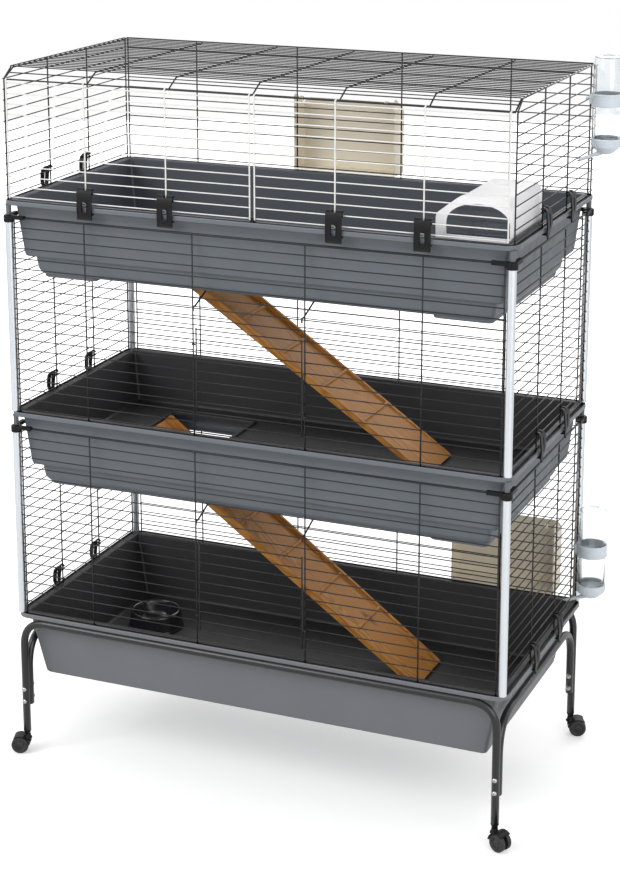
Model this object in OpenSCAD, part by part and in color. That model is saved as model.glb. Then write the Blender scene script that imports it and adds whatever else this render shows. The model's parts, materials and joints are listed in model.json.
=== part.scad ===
// Three storey rabbit cage on a wheeled tube stand.
// Millimetres. The origin is on the floor under the trays' centre.
// X runs along the cage, the front faces -Y, +Z is up.

/* [Trays] */
// Length of a tray over its rim
tray_l = 1180; // [1100:10:1300]
// Width of a tray over its rim
tray_w = 585; // [540:5:650]
// Corner radius of a tray's rim
rim_r = 30; // [27:1:40]
// Height of the lip round a rim
lip_h = 10; // [8:0.5:12]
// Width of the flat flange on a rim
flange_w = 24; // [22:0.5:28]
// Wall thickness of a tray
tray_wall = 3; // [2:0.25:4]
// Height of the bottom tray's rim above the floor
rim_z = 346; // [320:2:400]
// Height from one rim to the next
tier_pitch = 484; // [460:2:520]
// Depth of the bottom tray
tub_depth = 155; // [130:1:165]
// How far the bottom tray's ends lean in
tub_lean_x = 32; // [20:1:40]
// How far the bottom tray's sides lean in
tub_lean_y = 17; // [10:1:22]
// Depth of an upper tray, to the underside of its floor
upper_depth = 129; // [110:1:140]
// How far an upper tray's ends lean in
upper_lean_x = 15; // [10:1:20]
// How far an upper tray's sides lean in
upper_lean_y = 10; // [6:1:12]
// How far the skirt under an upper tray steps in
skirt_step = 19; // [12:1:24]
// Height of the skirt under an upper tray
skirt_h = 43; // [36:1:50]
// Width of the skirt's turned-in foot
skirt_foot = 30; // [20:1:40]
// Height of the end pads under an upper tray
pad_h = 8; // [4:1:12]
// Length of an end pad
pad_l = 130; // [100:5:160]
// Width of the groove that the walls stand in
groove_w = 9; // [8.5:0.25:9.5]
// Depth of that groove
groove_d = 4; // [3:0.5:5]

/* [Hatch for the ramp] */
// Left edge of the hatch, from the tray's centre
hatch_x = -420; // [-440:5:-400]
// Length of the hatch
hatch_l = 210; // [200:5:230]
// Front edge of the hatch
hatch_y = -22; // [-30:2:-16]
// Width of the hatch
hatch_w = 216; // [190:2:230]
// Width of the raised border round the hatch
border_w = 8; // [6:1:12]
// Height of that border
border_h = 6; // [4:1:10]

/* [Posts] */
// Diameter of a corner post
post_d = 18; // [16:0.5:20]
// Distance of a post's axis from the rim's edge
post_inset = 12; // [11:0.5:13]
// Height of the peg that stands on a connector
peg_h = 23; // [19:1:28]
// Diameter of a connector's cap
cap_d = 24; // [22:0.5:26]
// Height of a connector
cap_h = 16; // [12:1:20]
// Depth of the socket in a connector
socket_d = 7; // [5:1:9]
// Length of a connector's arm from the post's axis
arm_l = 42; // [36:1:50]
// Thickness of a connector's arm
arm_t = 9; // [8.5:0.5:10]
// Diameter of the peg under an upper tray's corner
peg_d = 12; // [10:0.5:14]

/* [Wire walls] */
// Diameter of a thin wire
wire_d = 2.6; // [2.4:0.1:3]
// Diameter of a frame wire
frame_d = 3.4; // [3:0.1:3.6]
// Diameter of a wall's top wire
rail_d = 5; // [4:0.2:5.4]
// Distance of the walls from the rim's edge
wire_inset = 7.2; // [7:0.1:8]
// Target spacing of the thin wires
wire_pitch = 23; // [20:0.5:27]
// Height of the lowest wire over the rim
first_wire = 8; // [7:0.5:10]
// Drop from the next rim to a wall's top wire
top_drop = 37; // [34:1:42]
// Gap between a wall's end and a post
post_gap = 2; // [1:0.5:4]
// Distance from the centre to a front wall's inner uprights
bay_x = 130; // [115:5:150]
// Distance from the centre to a front wall's outer uprights
outer_x = 390; // [370:5:410]
// Distance from the centre to an end wall's uprights
end_y = 90; // [80:2:110]
// Height of the top storey's wires over its rim
top_h = 290; // [260:2:320]
// Drop of the bevel along the top front edge
bevel_drop = 23; // [16:1:30]
// Depth of that bevel
bevel_y = 40; // [30:1:50]
// Distance of the top storey's corner uprights behind its front wires
corner_back = 8; // [7:0.5:10]
// Spacing of the bars across the roof
bar_pitch = 193; // [180:1:205]

/* [Doors] */
// Where the two top doors meet
door_meet_x = 13; // [0:1:20]
// Distance from a roof bar to the door upright beside it
bar_side = 7; // [6.5:0.5:10]
// Distance between the two top doors' end uprights
door_gap = 11; // [10:0.5:14]
// Rows of wire in a front door of the lower storeys
low_door_rows = 10; // [6:1:13]
// Gap between a door's wire and the upright beside it
door_side = 7; // [6.5:0.5:9]
// Length of a hinge loop
loop_l = 5; // [4:0.5:6]
// Wall of a hinge loop
loop_wall = 1.6; // [1.2:0.1:2]
// Clearance round a wire in a hinge loop
loop_gap = 0.2; // [0.1:0.05:0.4]
// Height of a latch over its rim
latch_z = 66; // [60:2:80]
// Length of a latch
latch_l = 96; // [70:2:110]

/* [Clips] */
// Width of a clip
clip_w = 36; // [30:1:40]
// Thickness of a clip
clip_t = 3; // [2.5:0.25:3.5]
// How far a clip's toe hangs under the lip
toe_gap = 3; // [2.5:0.25:4]
// Reach of a clip's toe under the lip
toe_reach = 8; // [6:0.5:9]
// Width of the slot in a clip's top
clip_slot = 9; // [8:0.5:12]
// Width of the eye in a clip
eye_w = 9; // [6:0.5:12]
// Height of the eye in a clip
eye_h = 22; // [16:1:26]

/* [Stand] */
// Outer diameter of the stand's tube
tube_d = 17.5; // [16:0.5:20]
// Wall of the tube
tube_wall = 1.5; // [1:0.25:2]
// Distance from the centre to the legs, along the cage
leg_x = 571; // [565:1:573]
// Distance from the centre to the long frames
leg_y = 290; // [287:0.5:291]
// Height of the legs' lower ends
leg_z = 56; // [55:1:66]
// Bend radius of the long frames
front_bend = 60; // [50:2:75]
// Bend radius of the end frames
end_bend = 90; // [75:2:110]
// Height of the end frames' rail
end_rail_z = 284; // [270:2:290]
// Height of the end frames' lower ends
end_leg_z = 116; // [110:2:122]
// Gap between the two frames' legs
frame_gap = 0.5; // [0.3:0.1:1]
// Height of the lower bolt
bolt_z = 129; // [126:1:136]
// Distance between the bolts
bolt_pitch = 30; // [26:1:40]
// Diameter of a bolt
bolt_d = 5; // [4:0.5:6]
// Diameter of a bolt's head
bolt_head_d = 11; // [9:0.5:13]

/* [Casters] */
// Diameter of a caster's wheels
wheel_d = 40; // [38:1:46]
// Width of one wheel
wheel_w = 11; // [9:0.5:13]
// Width of the housing's web between the wheels
web_w = 8; // [6:0.5:10]
// Distance of the axle behind the stem
trail = 17; // [14:1:20]
// Diameter of a caster's stem
stem_d = 8; // [7:0.5:9]
// Diameter of a caster's axle
axle_d = 6; // [5:0.5:7]
// Clearance on the radius of a turning pin
pin_gap = 0.05; // [0.02:0.01:0.1]
// Clearance beside a turning wheel
side_gap = 0.5; // [0.3:0.1:1]

/* [Ramps] */
// Length of a ramp
ramp_l = 869; // [840:1:900]
// Width of a ramp
ramp_w = 160; // [130:2:168]
// Thickness of a ramp's board
board_t = 9; // [7:0.5:12]
// Thickness of a ramp's side rail
rail_t = 7; // [6:0.5:10]
// Height of a rail at the top end
rail_top_h = 26; // [20:1:32]
// Height of a rail at the low end
rail_low_h = 10; // [8:1:14]
// Gap between a ramp and the hatch's front edge
ramp_gap = 4; // [3:0.5:8]
// Spacing of the cleats along a ramp
cleat_pitch = 121; // [90:1:140]
// Height of a cleat
cleat_h = 5; // [4:0.5:8]
// Width of a cleat
cleat_w = 9; // [7:0.5:12]

/* [Fittings] */
// Width of a hay rack
rack_w = 252; // [230:1:280]
// Height of a hay rack
rack_h = 164; // [150:2:200]
// Depth of a hay rack
rack_d = 60; // [45:1:80]
// Wall of a hay rack
rack_wall = 2.5; // [2:0.25:4]
// Corner radius of a hay rack
rack_r = 20; // [12:1:36]
// Distance of the top rack to the left of the back wall's middle
rack_shift = 14; // [12:1:15]
// Distance of a rack's hooks from its ends
hook_inset = 20; // [18:1:24]
// Diameter of a bottle
bottle_d = 62; // [56:1:66]
// Length of a bottle's body
bottle_l = 180; // [160:2:200]
// Distance of a bottle behind the cage's centre
bottle_y = 244; // [230:1:246]
// Height of a bottle's holder ring
ring_h = 28; // [20:1:40]
// Wall of that ring
ring_wall = 2.5; // [2:0.25:4]
// Height of a bottle over the middle of its spout
spout_rise = 44; // [40:1:50]
// Length of a spout
spout_l = 64; // [50:1:70]
// Diameter of a spout
spout_d = 8; // [6:0.5:10]
// Diameter of the food bowl's foot
bowl_d = 136; // [120:1:150]
// Height of the food bowl
bowl_h = 45; // [36:1:55]
// Width of the corner house
house_w = 142; // [130:1:143]
// Length of the corner house
house_l = 210; // [190:2:260]
// Height of the corner house's walls over the rim
house_eave = 46; // [36:1:50]
// Height of the corner house's roof over the rim
house_top = 86; // [78:1:96]
// Width of the slope between its left wall and its roof
house_slope = 52; // [40:1:64]
// Wall of the corner house
house_wall = 3; // [2.5:0.25:4]

/* [Hidden] */
eps = 0.3;
post_h = tier_pitch - lip_h - cap_h + socket_d - peg_h;
hex = 6;
loop_sides = 12;
arc_steps = 6;
rims = [rim_z, rim_z + tier_pitch, rim_z + 2 * tier_pitch];
half_l = tray_l / 2;
half_w = tray_w / 2;
tub_x = half_l - flange_w + tray_wall;
tub_y = half_w - flange_w + tray_wall;
tub_r = rim_r - flange_w + tray_wall;
wall_x = half_l - wire_inset;
wall_y = half_w - wire_inset;
post_x = half_l - post_inset;
post_y = half_w - post_inset;
front_end_x = post_x - post_d / 2 - post_gap;
side_end_y = post_y - post_d / 2 - post_gap;
front_step = frame_d / 2 + wire_d / 2 - 0.6;
top_z = rims[2] + top_h;
bevel_z = top_z - bevel_drop;
bevel_top_y = wall_y - bevel_y;
low_top = tier_pitch - top_drop;
low_rows = round((low_top - first_wire) / wire_pitch);
low_pitch = (low_top - first_wire) / low_rows;
top_rows = round((top_h - first_wire) / wire_pitch);
top_pitch = (top_h - first_wire) / top_rows;
door_rows = round((bevel_z - rims[2] - 2 * first_wire) / wire_pitch);
door_pitch = (bevel_z - rims[2] - 2 * first_wire) / door_rows;
depths = [tub_depth, upper_depth, upper_depth];
floor_z = [for (i = [0:2]) rims[i] - depths[i] + tray_wall];
clip_pivot_low = first_wire + low_pitch;
clip_pivot_top = first_wire + top_pitch;
clip_pivot_door = first_wire + door_pitch;

// Points of a rounded rectangle at height z, anticlockwise from above
function ring(hx, hy, r, z) = [
    for (q = [0:3])
        for (k = [0:arc_steps])
            let (a = 90 * q + 90 * k / arc_steps,
                 sx = (q == 0 || q == 3) ? 1 : -1,
                 sy = q < 2 ? 1 : -1)
            [sx * (hx - r) + r * cos(a), sy * (hy - r) + r * sin(a), z]
];

// A closed skin over rings that have the same number of points
module loft(rings) {
    n = len(rings[0]);
    last = len(rings) - 1;
    sides = [
        for (i = [0:last - 1])
            for (k = [0:n - 1])
                [i * n + k, (i + 1) * n + k, (i + 1) * n + (k + 1) % n, i * n + (k + 1) % n]
    ];
    first_cap = [for (k = [0:n - 1]) k];
    last_cap = [for (k = [n - 1:-1:0]) last * n + k];
    polyhedron([for (r = rings) each r], concat([first_cap], sides, [last_cap]));
}

// A straight round or many-sided bar between two points
module bar(a, b, d, sides = hex) {
    v = b - a;
    l = norm(v);
    translate(a)
        rotate([0, acos(v[2] / l), atan2(v[1], v[0])])
            cylinder(h = l, d = d, $fn = sides);
}

// A bar through a list of points, lengthened at its bends
module bent_bar(pts, d) {
    for (i = [0:len(pts) - 2]) {
        v = (pts[i + 1] - pts[i]) / norm(pts[i + 1] - pts[i]);
        bar(pts[i] - v * d * 0.3, pts[i + 1] + v * d * 0.3, d);
    }
}

// Rings of the rim, from the tub's outer wall over the lip to its inner wall
function rim_rings(z, lean_x, lean_y) =
    let (mid = wire_inset,
         g = groove_w / 2,
         slope = lip_h / tub_depth)
    [
        ring(tub_x - lean_x * slope, tub_y - lean_y * slope, tub_r, z - lip_h),
        ring(half_l, half_w, rim_r, z - lip_h),
        ring(half_l, half_w, rim_r, z - 1),
        ring(half_l - 1, half_w - 1, rim_r - 1, z),
        ring(half_l - mid + g, half_w - mid + g, rim_r - mid + g, z),
        ring(half_l - mid + g, half_w - mid + g, rim_r - mid + g, z - groove_d),
        ring(half_l - mid - g, half_w - mid - g, rim_r - mid - g, z - groove_d),
        ring(half_l - mid - g, half_w - mid - g, rim_r - mid - g, z),
        ring(half_l - flange_w, half_w - flange_w, rim_r - flange_w, z)
    ];

// One ring of an inner wall, a given depth below the rim
function inner_ring(z, depth, lean_x, lean_y, full) =
    ring(half_l - flange_w - lean_x * depth / full, half_w - flange_w - lean_y * depth / full,
         rim_r - flange_w, z - depth);

module tray_bottom() {
    z = rims[0];
    inner = tub_depth - tray_wall;
    color("slategray")
        loft(concat(
            [
                ring(tub_x - tub_lean_x - 3, tub_y - tub_lean_y - 3, tub_r - 1, z - tub_depth),
                ring(tub_x - tub_lean_x, tub_y - tub_lean_y, tub_r, z - tub_depth + 3)
            ],
            rim_rings(z, tub_lean_x, tub_lean_y),
            [inner_ring(z, inner, tub_lean_x, tub_lean_y, tub_depth)]));
}

module upper_tray(z) {
    inner = upper_depth - tray_wall;
    fx = tub_x - upper_lean_x;
    fy = tub_y - upper_lean_y;
    sx = fx - skirt_step;
    sy = fy - skirt_step * 0.7;
    low = z - upper_depth - skirt_h;
    turn = 12;
    difference() {
        union() {
            loft(concat(
                [
                    ring(sx - tray_wall, sy - tray_wall, tub_r, z - upper_depth),
                    ring(sx - 4 - tray_wall, sy - 4 - tray_wall, tub_r, low + turn),
                    ring(sx - skirt_foot, sy - skirt_foot, tub_r, low + tray_wall),
                    ring(sx - skirt_foot, sy - skirt_foot, tub_r, low),
                    ring(sx - turn, sy - turn, tub_r, low),
                    ring(sx - 4, sy - 4, tub_r, low + turn),
                    ring(sx, sy, tub_r, z - upper_depth - 1),
                    ring(fx - 2, fy - 2, tub_r, z - upper_depth),
                    ring(fx, fy, tub_r, z - upper_depth + 3)
                ],
                rim_rings(z, upper_lean_x, upper_lean_y),
                [inner_ring(z, inner, upper_lean_x, upper_lean_y, upper_depth)]));
            for (s = [-1, 1])
                translate([s * (sx - turn - pad_l / 2), 0, 0])
                    loft([
                        ring(pad_l / 2 - 3, sy - turn - 5, 12, low - pad_h),
                        ring(pad_l / 2, sy - turn - 2, 12, low - pad_h + 4),
                        ring(pad_l / 2, sy - turn - 2, 12, low + tray_wall - 0.5)
                    ]);
            for (x = [-1, 1])
                for (y = [-1, 1])
                    translate([x * post_x, y * post_y, z - lip_h - peg_h])
                        cylinder(h = peg_h + 1, d = peg_d);
            translate([hatch_x - border_w, hatch_y - border_w, z - inner - 1])
                cube([hatch_l + 2 * border_w, hatch_w + 2 * border_w, border_h + 1]);
        }
        translate([hatch_x, hatch_y, low - pad_h - 1])
            cube([hatch_l, hatch_w, upper_depth + skirt_h]);
    }
}

module tray_middle() {
    color("slategray") upper_tray(rims[1]);
}

module tray_top() {
    color("slategray") upper_tray(rims[2]);
}

module corner_posts() {
    color("silver")
        for (i = [0, 1])
            for (x = [-1, 1])
                for (y = [-1, 1])
                    translate([x * post_x, y * post_y, rims[i]])
                        cylinder(h = post_h, d = post_d);
}

// A cap on a post, with an arm along each wall that holds the wall's top wire
module corner_connector(x, y) {
    arm_z = low_top - post_h + socket_d;
    arm_low = arm_z - arm_t / 2;
    foot_slot = frame_d + 2 * eps;
    difference() {
        union() {
            cylinder(h = cap_h, d = cap_d);
            translate([x > 0 ? -arm_l : 0, y * (wall_y - post_y) - arm_t / 2, arm_low])
                cube([arm_l, arm_t, cap_h - arm_low]);
            translate([x * (wall_x - post_x) - arm_t / 2, y > 0 ? -arm_l : 0, arm_low])
                cube([arm_t, arm_l, cap_h - arm_low]);
        }
        translate([0, 0, -1])
            cylinder(h = socket_d + 1, d = post_d);
        translate([x > 0 ? -arm_l - 1 : post_x - front_end_x - eps,
                   y * (wall_y - post_y) - rail_d / 2 - eps, arm_z - arm_t])
            cube([arm_l + 1 - post_x + front_end_x + eps, rail_d + 2 * eps, arm_t + rail_d / 2 + eps]);
        translate([x * (wall_x - post_x) - rail_d / 2 - eps,
                   y > 0 ? -arm_l - 1 : post_y - side_end_y - eps, arm_z - arm_t])
            cube([rail_d + 2 * eps, arm_l + 1 - post_y + side_end_y + eps, arm_t + rail_d / 2 + eps]);
        translate([-x * (post_x - front_end_x + frame_d) - foot_slot / 2,
                   y * (wall_y - post_y) - (y > 0 ? arm_t : 0), arm_z - arm_t])
            cube([foot_slot, arm_t, arm_t + eps]);
        translate([x * (wall_x - post_x) - (x > 0 ? arm_t : 0),
                   -y * (post_y - side_end_y + frame_d) - foot_slot / 2, arm_z - arm_t])
            cube([arm_t, foot_slot, arm_t + eps]);
    }
}

module corner_connectors() {
    color("#202022")
        for (i = [0, 1])
            for (x = [-1, 1])
                for (y = [-1, 1])
                    translate([x * post_x, y * post_y, rims[i] + post_h - socket_d])
                        corner_connector(x, y);
}

function row_z(z, k) = z + first_wire + k * low_pitch;

// A wire along the cage between two x values
module row(ends, y, z, d) {
    bar([ends[0], y, z], [ends[1], y, z], d);
}

// A row of wires across a bay of a front wall, left open where the door is
module front_rows(z, doorway) {
    side = bay_x - frame_d / 2;
    for (k = [0:low_rows - 1])
        if (doorway && k >= 1 && k <= low_door_rows) {
            row([-front_end_x, -side], -wall_y, row_z(z, k), wire_d);
            row([side, front_end_x], -wall_y, row_z(z, k), wire_d);
        }
        else
            row([-front_end_x, front_end_x], -wall_y, row_z(z, k), wire_d);
    row([-front_end_x, front_end_x], -wall_y, z + low_top, rail_d);
}

// The front wall of a lower storey. The back wall is the same, turned round.
module long_wall(z, doorway) {
    y = -wall_y + front_step;
    last = front_end_x - frame_d;
    color("#1c1c1e") {
        front_rows(z, doorway);
        for (x = [-last, -outer_x, -bay_x, bay_x, outer_x, last])
            bar([x, y, z - groove_d + eps], [x, y, z + low_top], frame_d);
    }
}

module lower_front_panel() {
    long_wall(rims[0], true);
}

module middle_front_panel() {
    long_wall(rims[1], true);
}

module lower_back_panel() {
    rotate([0, 0, 180]) long_wall(rims[0], false);
}

module middle_back_panel() {
    rotate([0, 0, 180]) long_wall(rims[1], false);
}

// Both end walls of a lower storey
module low_end_walls(z) {
    color("#1c1c1e")
        for (s = [-1, 1]) {
            x = s * wall_x;
            inside = s * (wall_x - front_step);
            for (k = [0:low_rows - 1])
                bar([x, -side_end_y, row_z(z, k)], [x, side_end_y, row_z(z, k)], wire_d);
            bar([x, -side_end_y, z + low_top], [x, side_end_y, z + low_top], rail_d);
            for (y = [-side_end_y + frame_d, -end_y, end_y, side_end_y - frame_d])
                bar([inside, y, z - groove_d + eps], [inside, y, z + low_top], frame_d);
        }
}

module lower_end_panels() {
    low_end_walls(rims[0]);
}

module middle_end_panels() {
    low_end_walls(rims[1]);
}

// Distance between two wires that lie side by side
join = frame_d / 2 + wire_d / 2 + eps;
roof_x = wall_x - front_step - frame_d - eps;
roof_back = wall_y - front_step - join;
roof_rows = round((roof_back + bevel_top_y) / wire_pitch);
roof_pitch = (roof_back + bevel_top_y) / roof_rows;
bars = [
    -roof_x, door_meet_x - 2 * bar_pitch, door_meet_x - bar_pitch, door_meet_x,
    door_meet_x + bar_pitch, door_meet_x + 2 * bar_pitch, roof_x
];

module roof_panel() {
    under = front_step;
    color("#1c1c1e") {
        for (k = [0:roof_rows]) {
            y = -bevel_top_y + k * roof_pitch;
            row([-roof_x, roof_x], y, top_z, wire_d);
        }
        row([-roof_x, roof_x], -wall_y, bevel_z, frame_d);
        row([-roof_x, roof_x], -(wall_y + bevel_top_y) / 2, (top_z + bevel_z) / 2 + 0.4, wire_d);
        for (x = bars)
            bent_bar([
                [x, roof_back - 0.5, top_z - under],
                [x, -bevel_top_y + 1, top_z - under],
                [x, -wall_y + 1.5, bevel_z - 1]
            ], frame_d);
    }
}

module top_back_panel() {
    end = wall_x - frame_d - wire_d;
    inside = wall_y - front_step;
    z = rims[2];
    color("#1c1c1e") {
        for (k = [0:top_rows - 1])
            row([-end, end], wall_y, z + first_wire + k * top_pitch, wire_d);
        row([-end, end], wall_y, top_z, frame_d);
        for (x = [-end + frame_d, -outer_x, -bay_x, bay_x, outer_x, end - frame_d])
            bar([x, inside, z - groove_d + eps], [x, inside, top_z - 1], frame_d);
    }
}

module top_end_panels() {
    z = rims[2];
    front = -wall_y + corner_back;
    color("#1c1c1e")
        for (s = [-1, 1]) {
            x = s * wall_x;
            inside = s * (wall_x - front_step);
            for (k = [0:top_rows - 1]) {
                wz = z + first_wire + k * top_pitch;
                cut = max(0, wz - bevel_z) * (bevel_y - corner_back) / bevel_drop;
                bar([x, front + cut - frame_d / 2, wz], [x, wall_y, wz], wire_d);
            }
            bar([x, -bevel_top_y, top_z], [x, wall_y, top_z], wire_d);
            bent_bar([
                [inside, front, z - groove_d + eps + 1],
                [inside, front, bevel_z],
                [inside, -bevel_top_y, top_z - 1]
            ], frame_d);
            for (y = [-end_y, end_y])
                bar([inside, y, z - groove_d + eps], [inside, y, top_z], frame_d);
            bar([inside, wall_y - frame_d, z + 2], [inside, wall_y - frame_d, top_z], frame_d);
        }
}

// A short tube, open along its axis, that turns on a wire
module hinge_loop(d) {
    r = (d / 2 + loop_gap) / cos(180 / loop_sides);
    difference() {
        cylinder(h = loop_l, r = r + loop_wall, center = true, $fn = loop_sides);
        cylinder(h = loop_l + 1, r = r, center = true, $fn = loop_sides);
    }
}

// A white door between two x values, hung on the bevel's lower wire
module top_door(x0, x1, uprights) {
    low = rims[2] + first_wire;
    front = -wall_y - front_step;
    reach = frame_d / 2 + loop_gap + wire_d / 2;
    neck_z = bevel_z - frame_d;
    color("white") {
        for (k = [0:door_rows])
            row([x0, x1], -wall_y, low + k * door_pitch, wire_d);
        for (x = uprights) {
            bar([x, front, low - wire_d], [x, front, neck_z], frame_d);
            bar([x, front, neck_z - 1], [x, -wall_y - reach, bevel_z], wire_d);
            translate([x, -wall_y, bevel_z])
                rotate([0, 90, 0])
                    hinge_loop(frame_d);
        }
    }
}

door_end_x = roof_x - bar_side;
door_in = door_gap / 2;
left_uprights = [
    -door_end_x, bars[1] - bar_side, bars[2] - bar_side, door_meet_x - door_in
];
right_uprights = [
    door_meet_x + door_in, bars[4] - bar_side, bars[5] - bar_side, door_end_x
];

module top_door_left() {
    top_door(-door_end_x - 1, door_meet_x - door_in + 1, left_uprights);
}

module top_door_right() {
    top_door(door_meet_x + door_in - 1, door_end_x + 1, right_uprights);
}

// A side hinged door in the middle bay of a lower storey's front
module bay_door(z) {
    inner = bay_x - door_side;
    back = -wall_y + front_step;
    stub = -bay_x + frame_d / 2 + loop_gap + loop_wall / 2;
    color("#1c1c1e") {
        for (k = [1:low_door_rows])
            row([-inner - 0.5, inner + 0.5], -wall_y, row_z(z, k), wire_d);
        for (x = [-inner, inner])
            bar([x, back, row_z(z, 1) - wire_d], [x, back, row_z(z, low_door_rows) + wire_d], frame_d);
        for (k = [2.5, low_door_rows - 1.5]) {
            translate([-bay_x, back, row_z(z, k)])
                hinge_loop(frame_d);
            row([stub, -inner], back, row_z(z, k), wire_d);
        }
    }
}

module lower_door() {
    bay_door(rims[0]);
}

module middle_door() {
    bay_door(rims[1]);
}

// A sliding wire latch, ringed round the door's upright
module latch(z) {
    x = bay_x - door_side;
    back = -wall_y + front_step;
    front = -wall_y - wire_d / 2 - frame_d / 2 - eps;
    out = x + frame_d / 2 + wire_d / 2 + 1.4;
    tail = bay_x + frame_d + 2;
    first = floor((latch_z - first_wire) / low_pitch) + 1;
    last = first + floor(latch_l / low_pitch) - 1;
    ring_z = wire_d / 2 + loop_l / 2 + eps;
    low = row_z(z, first) - 4;
    high = row_z(z, last) + 22;
    color("#1c1c1e") {
        for (k = [first, last])
            translate([x, back, row_z(z, k) + ring_z])
                hinge_loop(frame_d);
        for (k = [first, last])
            bar([x + frame_d / 2 + loop_gap + 1, back - 1, row_z(z, k) + ring_z],
                [out, front, row_z(z, k) + ring_z], wire_d);
        bar([out, front, low], [out, front, high], frame_d);
        row([out - 1, tail], front, low, wire_d);
        row([out - 1, tail], front, high, wire_d);
    }
}

module lower_latch() {
    latch(rims[0]);
}

module middle_latch() {
    latch(rims[1]);
}

// A clip whose top curls round a wire, with its toe under the lip.
// The wire is at the origin and the rim's top is pivot_h below it.
module clip(pivot_h) {
    r = (wire_d / 2 + loop_gap) / cos(180 / loop_sides);
    inner = wire_inset + 1.3;
    outer = inner + clip_t;
    toe = -pivot_h - lip_h - toe_gap;
    foot = toe - 14;
    strap = [
        [1, 1.5], [3, 8], [7, 9], [inner + 2, 2], [outer + 1.5, -12], [outer + 2, -pivot_h],
        [outer + 1, toe], [outer + 2, foot], [outer - 1, foot - 1], [inner + 1, toe - clip_t - 1],
        [wire_inset - toe_reach, toe - clip_t], [wire_inset - toe_reach, toe], [inner, toe],
        [inner + 1, -pivot_h], [inner, -14], [2.5, -1.5]
    ];
    difference() {
        union() {
            rotate([90, 0, -90])
                linear_extrude(height = clip_w, center = true)
                    polygon(strap);
            rotate([0, 90, 0])
                cylinder(h = clip_w, r = r + loop_wall, center = true, $fn = loop_sides);
        }
        rotate([0, 90, 0])
            cylinder(h = clip_w + 2, r = r, center = true, $fn = loop_sides);
        translate([-clip_slot / 2, -20, -9])
            cube([clip_slot, 30, 30]);
        for (s = [-1, 1])
            translate([0, 0, -pivot_h + 1 + s * (eye_h - eye_w) / 2])
                rotate([90, 0, 0])
                    cylinder(h = 40, d = eye_w, center = false, $fn = loop_sides);
        translate([-eye_w / 2, -40, -pivot_h + 1 - (eye_h - eye_w) / 2])
            cube([eye_w, 40, eye_h - eye_w]);
    }
}

clip_xs = [left_uprights[1], left_uprights[2], right_uprights[1], right_uprights[2]];

module front_clip(i) {
    color("#161618")
        translate([clip_xs[i], -wall_y, rims[2] + clip_pivot_door])
            clip(clip_pivot_door);
}

// An end clip of storey i: 0 and 1 on the left end, 2 and 3 on the right, front one first
module end_clip(i, j) {
    pivot_h = i == 2 ? clip_pivot_top : clip_pivot_low;
    side = j < 2 ? -1 : 1;
    y = (j % 2 == 0) ? -end_y : end_y;
    color("#161618")
        translate([side * wall_x, y, rims[i] + pivot_h])
            rotate([0, 0, side * 90])
                clip(pivot_h);
}

module tube_section() {
    difference() {
        circle(d = tube_d);
        circle(d = tube_d - 2 * tube_wall);
    }
}

// A tube bent into an upturned U in the XZ plane
module u_frame(half, top, low, bend) {
    for (s = [0, 1])
        mirror([s, 0, 0]) {
            translate([half, 0, low])
                linear_extrude(height = top - bend - low)
                    tube_section();
            translate([half - bend, 0, top - bend])
                rotate([90, 0, 0])
                    rotate_extrude(angle = 90)
                        translate([bend, 0])
                            tube_section();
        }
    translate([-half + bend, 0, top])
        rotate([0, 90, 0])
            linear_extrude(height = 2 * (half - bend))
                tube_section();
}

module bolt_holes() {
    for (x = [-leg_x, leg_x])
        for (k = [0, 1])
            translate([x, 0, bolt_z + k * bolt_pitch])
                rotate([90, 0, 0])
                    cylinder(h = tray_w + 4 * tube_d, d = bolt_d + eps, center = true);
}

rail_z = rim_z - lip_h - eps - tube_d / 2;
end_leg_y = leg_y - tube_d - frame_gap;

module long_frame() {
    color("#1a1a1c")
        difference() {
            translate([0, -leg_y, 0])
                u_frame(leg_x, rail_z, leg_z, front_bend);
            bolt_holes();
        }
}

module stand_front_frame() {
    long_frame();
}

module stand_back_frame() {
    rotate([0, 0, 180]) long_frame();
}

module stand_end_frames() {
    color("#1a1a1c")
        difference() {
            for (x = [-leg_x, leg_x])
                translate([x, 0, 0])
                    rotate([0, 0, 90])
                        u_frame(end_leg_y, end_rail_z, end_leg_z, end_bend);
            bolt_holes();
        }
}

module leg_bolts() {
    grip = 2 * tube_d + frame_gap + 2 * eps;
    color("silver")
        for (s = [0, 1])
            mirror([0, s, 0])
                for (x = [-leg_x, leg_x])
                    for (k = [0, 1])
                        translate([x, -leg_y - tube_d / 2 - eps, bolt_z + k * bolt_pitch])
                            rotate([-90, 0, 0]) {
                                translate([0, 0, -1])
                                    cylinder(h = grip + 8, d = bolt_d);
                                translate([0, 0, -3])
                                    cylinder(h = 3, d1 = bolt_head_d - 4, d2 = bolt_head_d);
                                translate([0, 0, grip])
                                    cylinder(h = 4, d = 1.8 * bolt_d, $fn = hex);
                            }
}

plug_rim = 0.6 * tube_d;
plug_low = leg_z - plug_rim;
plug_top = leg_z + 1.5 * tube_d;

module leg_plugs() {
    color("#161618")
        for (x = [-leg_x, leg_x])
            for (y = [-leg_y, leg_y])
                translate([x, y, 0])
                    difference() {
                        union() {
                            translate([0, 0, plug_low])
                                cylinder(h = plug_rim, d1 = 0.7 * tube_d, d2 = tube_d);
                            translate([0, 0, leg_z - 1])
                                cylinder(h = plug_top - leg_z + 1, d = tube_d - 2 * tube_wall - 2 * pin_gap);
                        }
                        translate([0, 0, plug_low - 1])
                            cylinder(h = plug_top - plug_low - 2, d = stem_d + 2 * pin_gap);
                    }
}

// Direction of each caster's trail: front left, front right, back left, back right
caster_turns = [200, -25, 160, 20];

function caster_x(i) = i % 2 == 0 ? -leg_x : leg_x;
function caster_y(i) = i < 2 ? -leg_y : leg_y;

module caster_frame(i) {
    translate([caster_x(i), caster_y(i), 0])
        rotate([0, 0, caster_turns[i]])
            children();
}

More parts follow.
